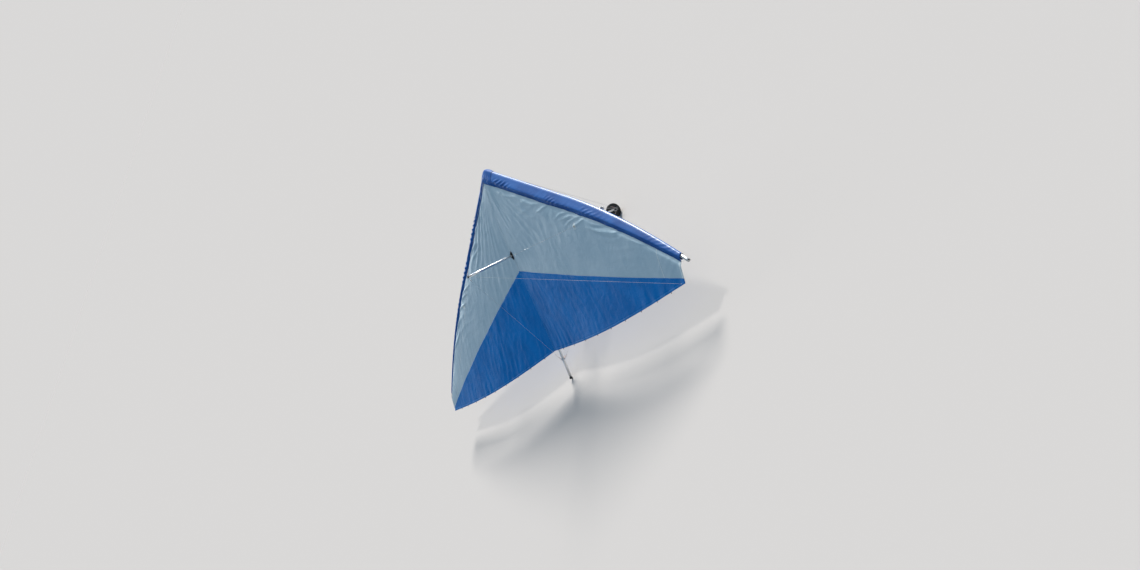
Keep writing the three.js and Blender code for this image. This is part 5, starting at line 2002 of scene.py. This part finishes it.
angles = [math.tau * k / RING_STEPS for k in range(RING_STEPS + 1)]
circle = [Vector((RING_RADIUS * math.cos(a), RING_RADIUS * math.sin(a), 0)) for a in angles]
for name, side in SIDES.items():
    hole = crossing(head_side, junction, side)
    patch = [(40, 6, patch_place(hole, side))]
    sewn_on[f"main_{name}"].append(strip_piece(f"wire_patch_{name}", hem_cloth, patch))
    mesh = blank()
    put(mesh, sweep(circle, RING_WIRE, 12), upright_on(mirrored(hole, side) + Z * 0.003, Z))
    sewn_on[f"main_{name}"].append(finish_piece(f"wire_ring_{name}", mesh, [brass]))
    print("wire passes the", name, "panel at", [round(n, 3) for n in hole])

# %% [markdown]
# ## Battens and luff lines
#
# An aluminium batten slides into each pocket from behind. Its plastic end stands out past the trailing edge,
# with a loop of cord that holds it in. From the kingpost's head one thin line on each side leads to the
# trailing edge near the tip and keeps it up when the wing flies slowly. It is taut and carries load, so it
# is rigging.

# %% Batten ends and luff lines
LUFF_LINE_X, LINE_RADIUS = 4.93, 0.0013
CORD_RADIUS, CORD_LOOP = 0.0012, 0.0058
BATTEN_CAP = (
    (0.0036, 0), (0.0062, 0.002), (0.0062, 0.034), (0.0044, 0.037), (0.0044, 0.040), (0.0062, 0.043),
    (0.0055, 0.046), (0, 0.0465),
)


def add_batten_end(made, x, side):
    edge = sail_point(x, trailing_y(x), side)
    way = (edge - sail_point(x, trailing_y(x) - 0.20, side)).normalized()
    start = edge - way * 0.030 - Z * 0.0065
    turned(made, BATTEN_CAP, start, way, 0, 20)
    groove = start + way * 0.0385
    angles = [math.pi * (k / 9 - 0.5) for k in range(19)]
    loop = [groove + Vector((CORD_LOOP * math.cos(a), 0, CORD_LOOP * math.sin(a))) for a in angles]
    put(made, sweep(loop, CORD_RADIUS, 8), material=1)
    for turn in (-1, 1):
        hole = sail_point(x + turn * 0.022, trailing_y(x) - 0.012, side, 0.001)
        out = groove + Vector((turn * side * CORD_LOOP, 0, 0))
        put(made, sweep([out, out.lerp(hole, 0.5) + Z * 0.001, hole], CORD_RADIUS, 8, True), material=1)


for name, side in SIDES.items():
    mesh = blank()
    for x in BATTEN_X:
        add_batten_end(mesh, x, side)
    finish_piece(f"batten_ends_{name}", mesh, [black_plastic, cord_fibre])

    lines = blank()
    start = kingpost_head + post_way * 0.004
    end = sail_point(LUFF_LINE_X, trailing_y(LUFF_LINE_X), side, 0.014) - Y * 0.02
    way = (end - start).normalized()
    put(lines, sweep(straight(start + way * 0.02, end - way * 0.012, 6), LINE_RADIUS, 8))
    tie = teardrop(end, -way, Z.cross(way).normalized(), 0.0045, 0.014)
    put(lines, sweep(tie, LINE_RADIUS, 8, True))
    bead = [(0.0022, 0), (0.0032, 0.002), (0.0032, 0.012), (0.0022, 0.014)]
    turned(lines, bead, end - way * 0.028, way, 1, 12)
    finish_piece(f"luff_lines_{name}", lines, [cord_fibre, black_plastic])
print("batten ends and luff lines")

# %% [markdown]
# ## Tips
#
# At each tip a strap of webbing goes from the sail's corner over the end of the tube and holds the sail out
# along it.

# %% Tip straps
STRAP_HALF_WIDTH, STRAP_FLATNESS, CAP_REACH = 0.009, 0.14, 0.010
inner = spar_point(SPAR_LENGTH - 0.110)
axis = (tip - inner).normalized()
up = (Z - axis * Z.dot(axis)).normalized()
over = OUTBOARD_RADIUS + 0.003
band = [inner + up * (over + 0.004) - axis * 0.05]
for k in range(17):
    angle = math.pi * 0.5 * (k / 8)
    band.append(tip + axis * (CAP_REACH + 0.003 * math.sin(angle)) + up * over * math.cos(angle))
band.append(inner - up * (over + 0.002) - axis * 0.02)
for name, side in SIDES.items():
    mesh = sweep(band, STRAP_HALF_WIDTH, 16, True, STRAP_FLATNESS)
    grain = mesh.verts.layers.float_vector[GRAIN]
    map_corners(mesh, "cloth", lambda vert: (vert[grain].x, vert[grain].z))
    if side < 0:
        mirror_mesh(mesh)
    finish_piece(f"tip_strap_{name}", mesh, [pale_webbing])
print("two tip straps")

# %% [markdown]
# ## The cloth's sheets
#
# The panels are stretched over the frame. Their cut isn't a rectangle. Each sheet's area was measured on the
# grid before it got its wall, and is read back here with its piece.

# %% Sheets
for name in SIDES:
    piece, area = main_panels[name]
    piece, area = rear_panels[name]
    piece, area = pockets[name]
